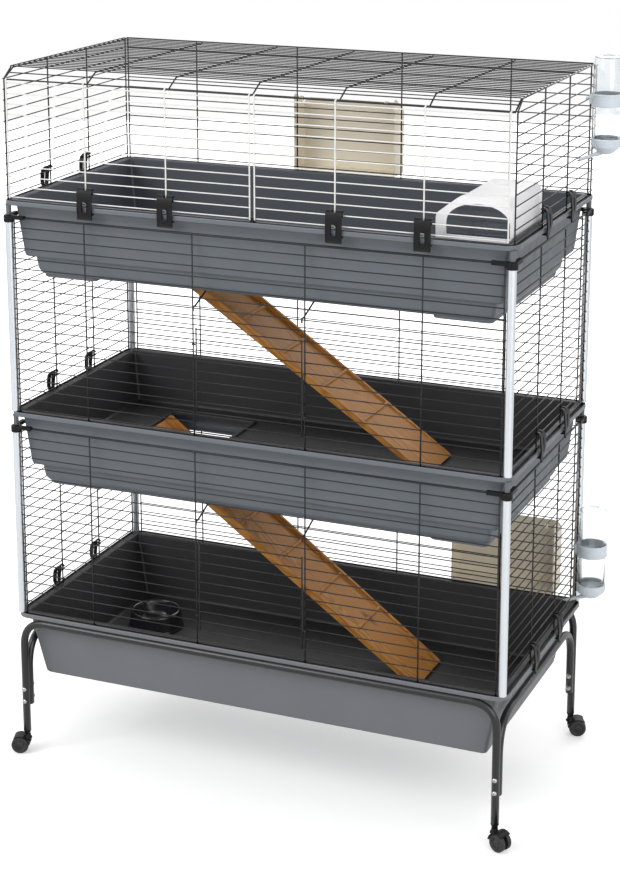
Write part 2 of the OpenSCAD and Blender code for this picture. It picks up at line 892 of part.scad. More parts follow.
hood_r = wheel_d / 2 + 1;
hood_t = 2;
collar_z = wheel_d / 2 + hood_r - 1;

module caster_housing(i) {
    color("#161618")
        caster_frame(i) {
            difference() {
                union() {
                    translate([0, web_w / 2, 0])
                        rotate([90, 0, 0])
                            linear_extrude(height = web_w) {
                                translate([trail, wheel_d / 2])
                                    circle(r = wheel_d / 2 - 8);
                                polygon([
                                    [-stem_d / 2 - 2, collar_z + 1], [stem_d / 2 + 2, collar_z + 1],
                                    [trail + 8, wheel_d / 2 + 6], [trail - 4, wheel_d / 2 - 10],
                                    [-5, wheel_d / 2 + 6]
                                ]);
                            }
                    translate([trail, 0, wheel_d / 2])
                        rotate([90, 0, 0])
                            rotate([0, 0, 60])
                                rotate_extrude(angle = 110)
                                    translate([hood_r, -wheel_w - web_w / 2 - side_gap])
                                        square([hood_t, 2 * wheel_w + web_w + 2 * side_gap]);
                    translate([0, 0, collar_z])
                        cylinder(h = plug_low - eps - collar_z, d = stem_d + 7);
                    translate([0, 0, collar_z])
                        cylinder(h = plug_top - 4 - collar_z, d = stem_d);
                }
                translate([trail, 0, wheel_d / 2])
                    rotate([90, 0, 0])
                        cylinder(h = web_w + 2, d = axle_d + 2 * pin_gap, center = true);
            }
        }
}

module caster_wheels(i) {
    r = wheel_d / 2;
    near = web_w / 2 + side_gap;
    far = near + wheel_w;
    color("#161618")
        caster_frame(i)
            translate([trail, 0, r])
                rotate([90, 0, 0]) {
                    for (s = [0, 1])
                        mirror([0, 0, s])
                            rotate_extrude()
                                polygon([
                                    [0, near], [r - 1, near], [r, near + 1], [r, far - 3],
                                    [r - 1, far - 1.2], [r - 3, far], [r - 6, far], [r - 7, far - 2],
                                    [5, far - 2], [4, far - 1], [0, far - 1]
                                ]);
                    cylinder(h = 2 * near + 2, d = axle_d, center = true);
                }
}

ramp_y = hatch_y + ramp_gap + ramp_w / 2;
lift_x = hatch_x - border_w;
lift_drop = 3;
lift_reach = border_w + 7;

// Slope of a ramp whose low edge rests on the floor below
function ramp_slope(i) =
    let (h = floor_z[i + 1] + border_h - lift_drop - floor_z[i] - eps)
    asin(h / norm([ramp_l, board_t])) - atan(board_t / ramp_l);

// A ramp with rails, cleats and two hooks over the hatch's border
module ramp(i) {
    cleats = floor((ramp_l - 40) / cleat_pitch);
    top = floor_z[i + 1] + border_h;
    color("#b8742a")
        translate([lift_x, ramp_y, top]) {
            translate([lift_reach, 0, -lift_drop])
                rotate([0, ramp_slope(i), 0]) {
                    translate([0, -ramp_w / 2, -board_t])
                        cube([ramp_l, ramp_w, board_t]);
                    for (s = [0, 1])
                        mirror([0, s, 0])
                            translate([0, ramp_w / 2, -board_t])
                                rotate([90, 0, 0])
                                    linear_extrude(height = rail_t)
                                        polygon([
                                            [0, 0], [ramp_l, 0], [ramp_l, rail_low_h - 2],
                                            [ramp_l - 4, rail_low_h], [6, rail_top_h], [0, rail_top_h - 6]
                                        ]);
                    for (k = [1:cleats])
                        translate([k * cleat_pitch - 50, -ramp_w / 2 + rail_t - 1, -1])
                            cube([cleat_w, ramp_w - 2 * rail_t + 2, cleat_h + 1]);
                }
            for (y = [-ramp_w / 2 + 22, ramp_w / 2 - 22])
                translate([0, y + 7, 0])
                    rotate([90, 0, 0])
                        linear_extrude(height = 14)
                            polygon([
                                [-1.5, -4], [-1.5, 0.4], [border_w + 1.5, 0.4], [border_w + 1.5, -14],
                                [border_w + 7, -14], [border_w + 7, -1], [border_w + 4.5, 2.4],
                                [-3.5, 2.4], [-3.5, -4]
                            ]);
        }
}

module lower_ramp() {
    ramp(0);
}

module middle_ramp() {
    ramp(1);
}

rod_d = 4;
rod_row = 12;

// Two rods under each upper tray, hooked on the walls in front and behind
module tray_rods() {
    foot_y = tub_y - upper_lean_y - skirt_step * 0.7 - skirt_foot + 8;
    color("#1c1c1e")
        for (i = [0, 1])
            for (s = [-1, 1]) {
                x = s * (bay_x - frame_d / 2 - rod_d / 2 - eps);
                wire = row_z(rims[i], rod_row);
                over = wire + wire_d / 2 + rod_d / 2 + eps;
                under = rims[i + 1] - upper_depth - skirt_h - rod_d / 2 - eps;
                out = wall_y + wire_d / 2 + rod_d / 2 + 0.8;
                bent_bar([
                    [x, -out, wire - 6], [x, -out, over], [x, -wall_y + 6, over], [x, -foot_y, under],
                    [x, foot_y, under], [x, wall_y - 6, over], [x, out, over], [x, out, wire - 6]
                ], rod_d);
            }
}

module door_rest() {
    w = door_gap - frame_d - 1.6;
    color("#161618")
        translate([door_meet_x - w / 2, -wall_y - 3, rims[2] - groove_d + eps])
            cube([w, 6, groove_d + first_wire + 3]);
}

bowl_x = -420;
bowl_y = 78;

module food_bowl() {
    foot = bowl_d / 2;
    brim = foot - 9;
    color("#333336")
        translate([bowl_x, bowl_y, floor_z[0] + eps])
            rotate_extrude()
                polygon([
                    [0, 0], [foot, 0], [foot, 3], [foot - 2, 9], [brim + 2, bowl_h - 6], [brim, bowl_h - 1],
                    [brim - 2, bowl_h], [brim - 5, bowl_h - 1], [brim - 7, bowl_h - 8], [brim - 14, 9],
                    [brim - 22, 5], [0, 4]
                ]);
}

house_x = 405;
house_front = -(half_w - flange_w - upper_lean_y - 3);
house_back = house_front + house_l;
window_gap = 0.2;

// The house's section across the cage, drawn in by a distance
function house_outline(d) =
    let (z = rims[2], low = floor_z[2] + eps, foot = house_x + house_w - d, open = d > 0 ? -d : 0)
    [
        [house_x + d, low + open], [foot, low + open], [foot + 12, z - 2], [foot + 22, z + 8],
        [foot + 22, z + house_eave + 20 - d], [foot + 8, z + house_top - d],
        [house_x + house_slope + d * 0.4, z + house_top - d], [house_x + d, z + house_eave - d * 0.5]
    ];

// The arched window's outline, grown by a distance
function window_outline(d) =
    let (x0 = house_x + 24, x1 = house_x + house_w + 16, z0 = rims[2] + 6, h = house_top - 20,
         mid = (x0 + x1) / 2, w = (x1 - x0) / 2)
    concat(
        [[x0 - d, z0 - d], [x1 + d, z0 - d]],
        [for (a = [0:15:180]) [mid + (w + d) * cos(a), z0 + h * 0.4 + (h * 0.6 + d) * sin(a)]]
    );

module along_y(y, l) {
    translate([0, y + l, 0])
        rotate([90, 0, 0])
            linear_extrude(height = l)
                children();
}

module corner_house() {
    doorway_w = 96;
    doorway_h = 130;
    color("#f2f0ec")
        difference() {
            along_y(house_front, house_l)
                polygon(house_outline(0));
            along_y(house_front + house_wall, house_l - 2 * house_wall)
                polygon(house_outline(house_wall));
            along_y(house_front - 1, house_wall + 2)
                polygon(window_outline(window_gap));
            translate([house_x + 20, house_back - house_wall - 1, floor_z[2] - 1])
                cube([doorway_w, house_wall + 2, doorway_h]);
        }
}

module house_window() {
    color("#dfe6ea", 0.4)
        along_y(house_front + 0.5, house_wall - 1)
            polygon(window_outline(0));
}

// A rack outside a back wall, hooked over one of its wires
module hay_rack(x, z, hook_z) {
    front = wall_y + wire_d / 2 + eps + 0.2;
    base = z + 1;
    half = rack_w / 2;
    color("#d8cdb8")
        translate([x, 0, 0]) {
            translate([0, front + rack_d, base])
                rotate([90, 0, 0])
                    linear_extrude(height = rack_wall) {
                        translate([-half, 0])
                            square([rack_w, rack_h - rack_r]);
                        translate([-half + rack_r, 0])
                            square([rack_w - 2 * rack_r, rack_h]);
                        for (s = [-1, 1])
                            translate([s * (half - rack_r), rack_h - rack_r])
                                circle(r = rack_r);
                    }
            for (s = [-1, 1])
                translate([s * (half - rack_wall / 2) - rack_wall / 2, 0, 0])
                    rotate([90, 0, 90])
                        linear_extrude(height = rack_wall)
                            polygon([
                                [front, base], [front + rack_d, base],
                                [front + rack_d, base + rack_h - rack_r],
                                [front + 6, hook_z + 6], [front, hook_z + 6]
                            ]);
            translate([-half, front, base])
                cube([rack_w, rack_d, rack_wall]);
            for (x = [-half, half - hook_inset])
                translate([x, front, hook_z - 8])
                    cube([hook_inset, 4, 13]);
            for (s = [-1, 1])
                translate([s * (half - hook_inset) - 4, 0, 0])
                    rotate([90, 0, 90])
                        linear_extrude(height = 8)
                            polygon([
                                [front, hook_z - 8], [front + 4, hook_z - 8], [front + 4, hook_z + 5],
                                [front - 6.5, hook_z + 5], [front - 6.5, hook_z - 3], [front - 4, hook_z - 3],
                                [front - 4, hook_z + 1.8], [front, hook_z + 1.8]
                            ]);
        }
}

rack_row = 7;

module hay_racks() {
    hay_rack(outer_x + 4, rims[0], row_z(rims[0], rack_row));
    hay_rack(-rack_shift, rims[2], rims[2] + first_wire + rack_row * top_pitch);
}

bottle_x = wall_x + 39.2;
bottle_wall = 1.5;
spouts = [rims[0] + first_wire + 0.5 * low_pitch, rims[2] + first_wire + 3.5 * top_pitch];
holds = [rims[0] + first_wire + 6 * low_pitch, rims[2] + first_wire + 9 * top_pitch];

module bottles() {
    r = bottle_d / 2;
    color("#e8eef0", 0.35)
        for (z = spouts)
            translate([bottle_x, bottle_y, z + spout_rise])
                rotate_extrude()
                    polygon([
                        [r - 4, -8], [r - 2, -8], [r - 2, 0], [r, 3], [r, bottle_l - 3], [r - 2, bottle_l],
                        [0, bottle_l], [0, bottle_l - bottle_wall], [r - 3, bottle_l - bottle_wall],
                        [r - bottle_wall, bottle_l - 5], [r - bottle_wall, 4], [r - 4, 0]
                    ]);
}

// Clamp rings that hold the bottles to the right end's wires
module bottle_holders() {
    r = bottle_d / 2 + eps;
    color("#aab9c3")
        for (k = [0, 1])
            translate([0, bottle_y, holds[k]]) {
                difference() {
                    union() {
                        translate([bottle_x, 0, -ring_h / 2])
                            cylinder(h = ring_h, r = r + ring_wall);
                        translate([wall_x + wire_d / 2 + eps, -12, -ring_h / 2 + 4])
                            cube([14, 24, ring_h - 8]);
                    }
                    translate([bottle_x, 0, -ring_h])
                        cylinder(h = 2 * ring_h, r = r);
                }
                for (y = [-12, 6])
                    translate([wall_x, y + 6, 0])
                        rotate([90, 0, 0])
                            linear_extrude(height = 6)
                                polygon([
                                    [wire_d / 2 + eps + 1, 1.8], [-4.5, 1.8], [-4.5, -3], [-6.5, -3],
                                    [-6.5, 5], [wire_d / 2 + eps + 1, 5]
                                ]);
            }
}

module bottle_caps() {
    r = bottle_d / 2;
    top = spout_rise - eps;
    seat = spout_rise - 10;
    color("#aab9c3")
        for (z = spouts)
            translate([bottle_x, bottle_y, z]) {
                difference() {
                    rotate_extrude()
                        polygon([
                            [0, 0.2 * spout_rise], [0.35 * r, 0.2 * spout_rise],
                            [0.55 * r, 0.28 * spout_rise], [r, 0.55 * spout_rise],
                            [r + 1.5, 0.62 * spout_rise], [r + 1.5, top],
                            [r - 1.7, top], [r - 1.7, seat], [0, seat]
                        ]);
                    translate([0, 0, seat / 2])
                        cylinder(h = spout_rise, r = 0.32 * r);
                }
                translate([-spout_d / 2, 0, 0.32 * spout_rise])
                    rotate([0, -112, 0])
                        cylinder(h = spout_l, d = spout_d);
            }
}

stand_front_frame();
stand_back_frame();
stand_end_frames();
leg_bolts();
leg_plugs();
caster_housing(0);  // caster_housing_fl
caster_housing(1);  // caster_housing_fr
caster_housing(2);  // caster_housing_bl
caster_housing(3);  // caster_housing_br
caster_wheels(0);  // caster_wheels_fl
caster_wheels(1);  // caster_wheels_fr
caster_wheels(2);  // caster_wheels_bl
caster_wheels(3);  // caster_wheels_br
tray_bottom();
tray_middle();
tray_top();
corner_posts();
corner_connectors();
lower_front_panel();
lower_back_panel();
lower_end_panels();
middle_front_panel();
middle_back_panel();
middle_end_panels();
roof_panel();
top_back_panel();
top_end_panels();
top_door_left();
top_door_right();
lower_door();
middle_door();
lower_latch();
middle_latch();
front_clip(0);  // front_clip_1
front_clip(1);  // front_clip_2
front_clip(2);  // front_clip_3
front_clip(3);  // front_clip_4
end_clip(0, 0);  // lower_clip_1
end_clip(0, 1);  // lower_clip_2
end_clip(0, 2);  // lower_clip_3
end_clip(0, 3);  // lower_clip_4
end_clip(1, 0);  // middle_clip_1
end_clip(1, 1);  // middle_clip_2
end_clip(1, 2);  // middle_clip_3
end_clip(1, 3);  // middle_clip_4
end_clip(2, 0);  // top_clip_1
end_clip(2, 1);  // top_clip_2
end_clip(2, 2);  // top_clip_3
end_clip(2, 3);  // top_clip_4
lower_ramp();
middle_ramp();
tray_rods();
door_rest();
food_bowl();
corner_house();
house_window();
hay_racks();
bottles();
bottle_holders();
bottle_caps();
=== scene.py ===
"""Looks of the three storey rabbit cage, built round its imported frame. Metres, +Z up, front at -Y."""
import json
import math

import bmesh
import bpy
from mathutils import Matrix, Vector

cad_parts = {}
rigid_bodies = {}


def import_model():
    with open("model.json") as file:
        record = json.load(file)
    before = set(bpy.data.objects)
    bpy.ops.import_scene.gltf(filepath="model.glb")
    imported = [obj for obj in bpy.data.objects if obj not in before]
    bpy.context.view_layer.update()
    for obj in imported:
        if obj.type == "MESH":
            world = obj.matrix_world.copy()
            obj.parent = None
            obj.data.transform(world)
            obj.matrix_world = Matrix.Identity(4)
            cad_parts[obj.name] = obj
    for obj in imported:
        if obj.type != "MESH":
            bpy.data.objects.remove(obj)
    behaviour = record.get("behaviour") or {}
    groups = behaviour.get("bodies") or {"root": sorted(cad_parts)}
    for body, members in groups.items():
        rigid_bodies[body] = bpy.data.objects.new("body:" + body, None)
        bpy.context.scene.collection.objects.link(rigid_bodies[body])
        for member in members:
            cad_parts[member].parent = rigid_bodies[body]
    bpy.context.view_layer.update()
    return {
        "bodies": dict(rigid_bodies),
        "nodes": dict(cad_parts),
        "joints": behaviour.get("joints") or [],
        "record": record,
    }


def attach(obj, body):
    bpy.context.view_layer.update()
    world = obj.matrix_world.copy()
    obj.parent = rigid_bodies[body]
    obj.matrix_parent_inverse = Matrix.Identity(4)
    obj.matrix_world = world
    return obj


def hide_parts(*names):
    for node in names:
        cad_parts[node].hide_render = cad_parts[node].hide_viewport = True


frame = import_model()
MM = 0.001

# Driving sizes of the cage, in millimetres
TRAY_L = 1180.0
TRAY_W = 585.0
RIM_R = 30.0
LIP_H = 10.0
FLANGE_W = 24.0
WALL = 3.0
RIM_Z = 346.0
PITCH = 484.0
WIRE_INSET = 7.2
WIRE_D = 2.6
UPRIGHT_D = 3.4
RAIL_D = 5.0
FIRST_WIRE = 8.0
GROOVE_D = 4.0
GROOVE_W = 9.0
BAY_X = 130.0
OUTER_X = 390.0
END_Y = 90.0
LOW_TOP = 447.0
TOP_H = 290.0
LEG_X = 571.0
LEG_Y = 290.0

RIMS = [RIM_Z + PITCH * i for i in range(3)]
HALF_L = TRAY_L / 2
HALF_W = TRAY_W / 2
WALL_X = HALF_L - WIRE_INSET
WALL_Y = HALF_W - WIRE_INSET
TOP_Z = RIMS[2] + TOP_H
BEVEL_Z = TOP_Z - 23.0
BEVEL_TOP_Y = WALL_Y - 40.0
LOW_ROWS = 19
LOW_PITCH = (LOW_TOP - FIRST_WIRE) / LOW_ROWS
TOP_ROWS = 12
TOP_PITCH = (TOP_H - FIRST_WIRE) / TOP_ROWS
WIRE_SPACING = 23.0


# Camera and studio

# The frame's height in pixels, and the view solved from the photograph
FRAME_H = 870
FOCAL_PX = 2070.0
VIEW_AZIMUTH = 22.952
VIEW_ELEVATION = 13.832
VIEW_ROLL = 0.0
VIEW_DISTANCE = 4.609
VIEW_TARGET = (0.0220, 0.0, 1.1300)
VIEW_SHIFT = -0.18


def make_camera():
    data = bpy.data.cameras.new("camera")
    cam = bpy.data.objects.new("camera", data)
    bpy.context.scene.collection.objects.link(cam)
    az = math.radians(VIEW_AZIMUTH)
    el = math.radians(VIEW_ELEVATION)
    back = Vector((math.sin(az) * math.cos(el), -math.cos(az) * math.cos(el), math.sin(el)))
    cam.rotation_mode = "QUATERNION"
    turn = (-back).to_track_quat("-Z", "Y")
    roll = Matrix.Rotation(math.radians(VIEW_ROLL), 3, "Z").to_quaternion()
    cam.location = Vector(VIEW_TARGET) + back * VIEW_DISTANCE
    cam.rotation_quaternion = turn @ roll
    data.sensor_fit = "AUTO"
    data.sensor_width = 36.0
    data.lens = 36.0 * FOCAL_PX / FRAME_H
    data.shift_y = VIEW_SHIFT
    data.clip_start = 0.05
    data.clip_end = 60.0
    bpy.context.scene.camera = cam


def area_light(name, place, target, size, power):
    data = bpy.data.lights.new(name, "AREA")
    data.shape = "SQUARE"
    data.size = size
    data.energy = power
    lamp = bpy.data.objects.new(name, data)
    bpy.context.scene.collection.objects.link(lamp)
    lamp.location = place
    lamp.rotation_mode = "QUATERNION"
    lamp.rotation_quaternion = (Vector(target) - Vector(place)).to_track_quat("-Z", "Y")


def make_studio():
    area_light("key", (-2.6, -3.6, 3.6), (0, 0, 0.8), 2.6, 105)
    area_light("fill", (3.4, -2.6, 2.2), (0, 0, 0.8), 2.6, 52)
    area_light("back", (0.5, 3.4, 3.2), (0, 0, 0.9), 2.6, 50)
    world = bpy.data.worlds.new("studio")
    bpy.context.scene.world = world
    world.use_nodes = True
    nt = world.node_tree
    nt.nodes.clear()
    path = nt.nodes.new("ShaderNodeLightPath")
    seen = nt.nodes.new("ShaderNodeMath")
    seen.operation = "MAXIMUM"
    seen2 = nt.nodes.new("ShaderNodeMath")
    seen2.operation = "MAXIMUM"
    level = nt.nodes.new("ShaderNodeMapRange")
    level.inputs["To Min"].default_value = 0.72
    level.inputs["To Max"].default_value = 1.0
    background = nt.nodes.new("ShaderNodeBackground")
    background.inputs["Color"].default_value = (1, 1, 1, 1)
    out = nt.nodes.new("ShaderNodeOutputWorld")
    nt.links.new(path.outputs["Is Camera Ray"], seen.inputs[0])
    nt.links.new(path.outputs["Is Glossy Ray"], seen.inputs[1])
    nt.links.new(seen.outputs[0], seen2.inputs[0])
    nt.links.new(path.outputs["Is Transmission Ray"], seen2.inputs[1])
    nt.links.new(seen2.outputs[0], level.inputs["Value"])
    nt.links.new(level.outputs["Result"], background.inputs["Strength"])
    nt.links.new(background.outputs[0], out.inputs["Surface"])


FLOOR_LIFT = 0.3


def make_floor():
    """A pale floor that reads white where no shadow lies on it."""
    bm = bmesh.new()
    bmesh.ops.create_circle(bm, cap_ends=True, segments=96, radius=9.0)
    mesh = bpy.data.meshes.new("floor")
    bm.to_mesh(mesh)
    bm.free()
    floor = bpy.data.objects.new("floor", mesh)
    bpy.context.scene.collection.objects.link(floor)
    floor.location.z = -0.0005
    mat = bpy.data.materials.new("studio_floor")
    mat.use_nodes = True
    nt = mat.node_tree
    shader = nt.nodes["Principled BSDF"]
    shader.inputs["Base Color"].default_value = (0.9, 0.9, 0.9, 1)
    shader.inputs["Roughness"].default_value = 0.8
    shader.inputs["Specular IOR Level"].default_value = 0.0
    shader.inputs["Emission Color"].default_value = (1, 1, 1, 1)
    place = nt.nodes.new("ShaderNodeTexCoord")
    reach = nt.nodes.new("ShaderNodeVectorMath")
    reach.operation = "LENGTH"
    lift = nt.nodes.new("ShaderNodeMapRange")
    lift.inputs["From Min"].default_value = 0.5
    lift.inputs["From Max"].default_value = 2.6
    lift.inputs["To Min"].default_value = FLOOR_LIFT
    lift.inputs["To Max"].default_value = 1.0
    path = nt.nodes.new("ShaderNodeLightPath")
    direct = nt.nodes.new("ShaderNodeMath")
    direct.operation = "MAXIMUM"
    strength = nt.nodes.new("ShaderNodeMath")
    strength.operation = "MULTIPLY"
    nt.links.new(place.outputs["Object"], reach.inputs[0])
    nt.links.new(reach.outputs["Value"], lift.inputs["Value"])
    nt.links.new(path.outputs["Is Camera Ray"], direct.inputs[0])
    nt.links.new(path.outputs["Is Transmission Ray"], direct.inputs[1])
    nt.links.new(lift.outputs["Result"], strength.inputs[0])
    nt.links.new(direct.outputs[0], strength.inputs[1])
    nt.links.new(strength.outputs[0], shader.inputs["Emission Strength"])
    mesh.materials.append(mat)


make_camera()
make_studio()
make_floor()


# Shader groups: effects that several finishes share

def srgb(red, green, blue):
    levels = []
    for value in (red, green, blue):
        value /= 255.0
        levels.append(value / 12.92 if value <= 0.04045 else ((value + 0.055) / 1.055) ** 2.4)
    return (*levels, 1.0)


class Wiring:
    """Adds nodes to one node tree and joins their sockets."""

    def __init__(self, tree):
        self.tree = tree

    def add(self, kind, **settings):
        node = self.tree.nodes.new(kind)
        for key, value in settings.items():
            setattr(node, key, value)
        return node

    def join(self, source, target):
        self.tree.links.new(source, target)

    def place(self, target, value):
        if isinstance(value, bpy.types.NodeSocket):
            self.join(value, target)
        else:
            target.default_value = value

    def math(self, operation, first, second=0.0, clamp=False):
        node = self.add("ShaderNodeMath", operation=operation, use_clamp=clamp)
        self.place(node.inputs[0], first)
        self.place(node.inputs[1], second)
        return node.outputs[0]

    def blend(self, factor, low, high):
        node = self.add("ShaderNodeMix", data_type="RGBA")
        self.place(node.inputs[0], factor)
        self.place(node.inputs[6], low)
        self.place(node.inputs[7], high)
        return node.outputs[2]

    def between(self, value, from_low, from_high, to_low, to_high):
        node = self.add("ShaderNodeMapRange")
        self.place(node.inputs["Value"], value)
        self.place(node.inputs["From Min"], from_low)
        self.place(node.inputs["From Max"], from_high)
        self.place(node.inputs["To Min"], to_low)
        self.place(node.inputs["To Max"], to_high)
        return node.outputs["Result"]

    def stretch(self, vector, scale):
        node = self.add("ShaderNodeMapping")
        self.place(node.inputs["Vector"], vector)
        node.inputs["Scale"].default_value = scale
        return node.outputs["Vector"]

    def noise(self, vector, scale, detail=3.0, roughness=0.55):
        node = self.add("ShaderNodeTexNoise")
        self.place(node.inputs["Vector"], vector)
        self.place(node.inputs["Scale"], scale)
        node.inputs["Detail"].default_value = detail
        node.inputs["Roughness"].default_value = roughness
        return node.outputs["Fac"]

    def bump(self, height, strength, distance, normal=None):
        node = self.add("ShaderNodeBump")
        self.place(node.inputs["Height"], height)
        self.place(node.inputs["Strength"], strength)
        self.place(node.inputs["Distance"], distance)
        if normal:
            self.join(normal, node.inputs["Normal"])
        return node.outputs["Normal"]

    def group(self, tree, **values):
        node = self.add("ShaderNodeGroup", node_tree=tree)
        for key, value in values.items():
            self.place(node.inputs[key.replace("_", " ")], value)
        return node.outputs

    def where(self):
        return self.add("ShaderNodeTexCoord").outputs["Object"]


def new_group(name, inputs, outputs):
    tree = bpy.data.node_groups.new(name, "ShaderNodeTree")
    for label, value in inputs.items():
        socket = tree.interface.new_socket(label, in_out="INPUT", socket_type="NodeSocketFloat")
        socket.default_value = value
    for label, kind in outputs.items():
        tree.interface.new_socket(label, in_out="OUTPUT", socket_type=kind)
    wires = Wiring(tree)
    start = wires.add("NodeGroupInput").outputs
    end = wires.add("NodeGroupOutput").inputs
    return tree, wires, start, end


def edge_wear_group():
    """Rubbed edges: where a rounded normal leaves the true one, broken up by noise."""
    tree, w, start, end = new_group(
        "edge_wear", {"Radius": 0.002, "Amount": 1.0, "Breakup": 60.0}, {"Mask": "NodeSocketFloat"})
    rounded = w.add("ShaderNodeBevel", samples=3)
    w.join(start["Radius"], rounded.inputs["Radius"])
    true = w.add("ShaderNodeNewGeometry").outputs["Normal"]
    facing = w.add("ShaderNodeVectorMath", operation="DOT_PRODUCT")
    w.join(rounded.outputs[0], facing.inputs[0])
    w.join(true, facing.inputs[1])
    bend = w.between(facing.outputs["Value"], 0.995, 0.93, 0.0, 1.0)
    patches = w.between(w.noise(w.where(), start["Breakup"], 4.0), 0.42, 0.62, 0.0, 1.0)
    w.join(w.math("MULTIPLY", w.math("MULTIPLY", bend, patches), start["Amount"], True), end["Mask"])
    return tree


def mottle_group():
    """Slow change in tone over a surface, around one."""
    tree, w, start, end = new_group(
        "mottle", {"Scale": 6.0, "Strength": 0.1}, {"Value": "NodeSocketFloat"})
    cloud = w.noise(w.where(), start["Scale"], 5.0, 0.6)
    swing = w.math("MULTIPLY", w.math("SUBTRACT", cloud, 0.5), 2.0)
    w.join(w.math("ADD", w.math("MULTIPLY", swing, start["Strength"]), 1.0), end["Value"])
    return tree


def moulded_grain_group():
    """The fine leathery texture of an injection mould."""
    tree, w, start, end = new_group(
        "moulded_grain", {"Scale": 900.0, "Strength": 0.3}, {"Normal": "NodeSocketVector"})
    cells = w.add("ShaderNodeTexVoronoi", feature="SMOOTH_F1")
    w.join(w.where(), cells.inputs["Vector"])
    w.join(start["Scale"], cells.inputs["Scale"])
    soft = w.noise(w.where(), w.math("MULTIPLY", start["Scale"], 0.6), 2.0)
    height = w.math("ADD", cells.outputs["Distance"], w.math("MULTIPLY", soft, 0.6))
    w.join(w.bump(height, start["Strength"], 0.0002), end["Normal"])
    return tree


def dust_group():
    """Fine dust that lies on what faces up."""
    tree, w, start, end = new_group(
        "settled_dust", {"Amount": 0.3, "Scale": 30.0}, {"Mask": "NodeSocketFloat"})
    normal = w.add("ShaderNodeNewGeometry").outputs["Normal"]
    parts = w.add("ShaderNodeSeparateXYZ")
    w.join(normal, parts.inputs[0])
    upward = w.between(parts.outputs["Z"], 0.35, 1.0, 0.0, 1.0)
    drift = w.between(w.noise(w.where(), start["Scale"], 6.0, 0.65), 0.35, 0.75, 0.2, 1.0)
    w.join(w.math("MULTIPLY", w.math("MULTIPLY", upward, drift), start["Amount"], True), end["Mask"])
    return tree


def scratch_group():
    """Thin rubbed lines that run one way."""
    tree, w, start, end = new_group(
        "rubbed_lines", {"Scale": 90.0, "Amount": 0.5}, {"Mask": "NodeSocketFloat"})
    drawn = w.stretch(w.where(), (1.0, 1.0, 0.03))
    lines = w.noise(drawn, w.math("MULTIPLY", start["Scale"], 8.0), 4.0, 0.7)
    patches = w.noise(w.where(), w.math("MULTIPLY", start["Scale"], 0.2), 2.0)
    both = w.math("MULTIPLY", w.between(lines, 0.55, 0.75, 0.0, 1.0), w.between(patches, 0.4, 0.6, 0.2, 1.0))
    w.join(w.math("MULTIPLY", both, start["Amount"], True), end["Mask"])
    return tree


EDGE_WEAR = edge_wear_group()
MOTTLE = mottle_group()
MOULDED_GRAIN = moulded_grain_group()
SETTLED_DUST = dust_group()
RUBBED_LINES = scratch_group()


# Materials, one function for each family of finishes

def new_material(name):
    mat = bpy.data.materials.new(name)
    mat.use_nodes = True
    return mat, Wiring(mat.node_tree), mat.node_tree.nodes["Principled BSDF"].inputs


def toned(w, colour, tone):
    """A colour made lighter or darker by a value that is about one."""
    node = w.add("ShaderNodeVectorMath", operation="SCALE")
    node.inputs[0].default_value = colour[:3]
    w.join(tone, node.inputs["Scale"])
    return node.outputs[0]


def moulded_plastic(name, colour, worn, dusty, roughness=0.42, grain=0.25, dust=0.12, wear=0.5,
                    shine=0.5):
    """Injection moulded plastic: mottled, grained, rubbed pale at its edges."""
    mat, w, shader = new_material(name)
    tone = w.group(MOTTLE, Scale=7.0, Strength=0.08)["Value"]
    base = toned(w, srgb(*colour), tone)
    rub = w.group(EDGE_WEAR, Radius=0.0018, Amount=wear, Breakup=70.0)["Mask"]
    base = w.blend(rub, base, srgb(*worn))
    film = w.group(SETTLED_DUST, Amount=dust, Scale=24.0)["Mask"]
    w.join(w.blend(film, base, srgb(*dusty)), shader["Base Color"])
    gloss = w.between(w.noise(w.where(), 35.0, 4.0), 0.3, 0.7, roughness - 0.07, roughness + 0.08)
    w.join(w.math("ADD", gloss, w.math("MULTIPLY", film, 0.3), True), shader["Roughness"])
    w.join(w.group(MOULDED_GRAIN, Scale=1100.0, Strength=grain)["Normal"], shader["Normal"])
    shader["Specular IOR Level"].default_value = shine
    return mat


def coated_wire(name, colour, chip, roughness=0.34):
    """Wire dipped in plastic or enamel: glossy, a little lumpy, chipped in places."""
    mat, w, shader = new_material(name)
    tone = w.group(MOTTLE, Scale=14.0, Strength=0.12)["Value"]
    base = toned(w, srgb(*colour), tone)
    chips = w.between(w.noise(w.where(), 160.0, 5.0, 0.7), 0.70, 0.74, 0.0, 0.7)
    w.join(w.blend(chips, base, srgb(*chip)), shader["Base Color"])
    w.join(w.between(w.noise(w.where(), 90.0, 3.0), 0.3, 0.7, roughness - 0.08, roughness + 0.12),
        shader["Roughness"])
    w.join(w.bump(w.noise(w.where(), 420.0, 3.0), 0.25, 0.0004), shader["Normal"])
    return mat


def powder_coat(name, colour):
    """Black powder coat on steel tube: fine orange peel, worn at the ends."""
    mat, w, shader = new_material(name)
    tone = w.group(MOTTLE, Scale=9.0, Strength=0.12)["Value"]
    base = toned(w, srgb(*colour), tone)
    rub = w.group(EDGE_WEAR, Radius=0.0015, Amount=0.8, Breakup=110.0)["Mask"]
    base = w.blend(rub, base, srgb(96, 96, 98))
    film = w.group(SETTLED_DUST, Amount=0.10, Scale=30.0)["Mask"]
    w.join(w.blend(film, base, srgb(120, 116, 110)), shader["Base Color"])
    peel = w.noise(w.where(), 700.0, 2.0)
    w.join(w.between(peel, 0.3, 0.7, 0.24, 0.38), shader["Roughness"])
    w.join(w.bump(peel, 0.3, 0.0002), shader["Normal"])
    shader["Coat Weight"].default_value = 0.25
    shader["Coat Roughness"].default_value = 0.15
    return mat


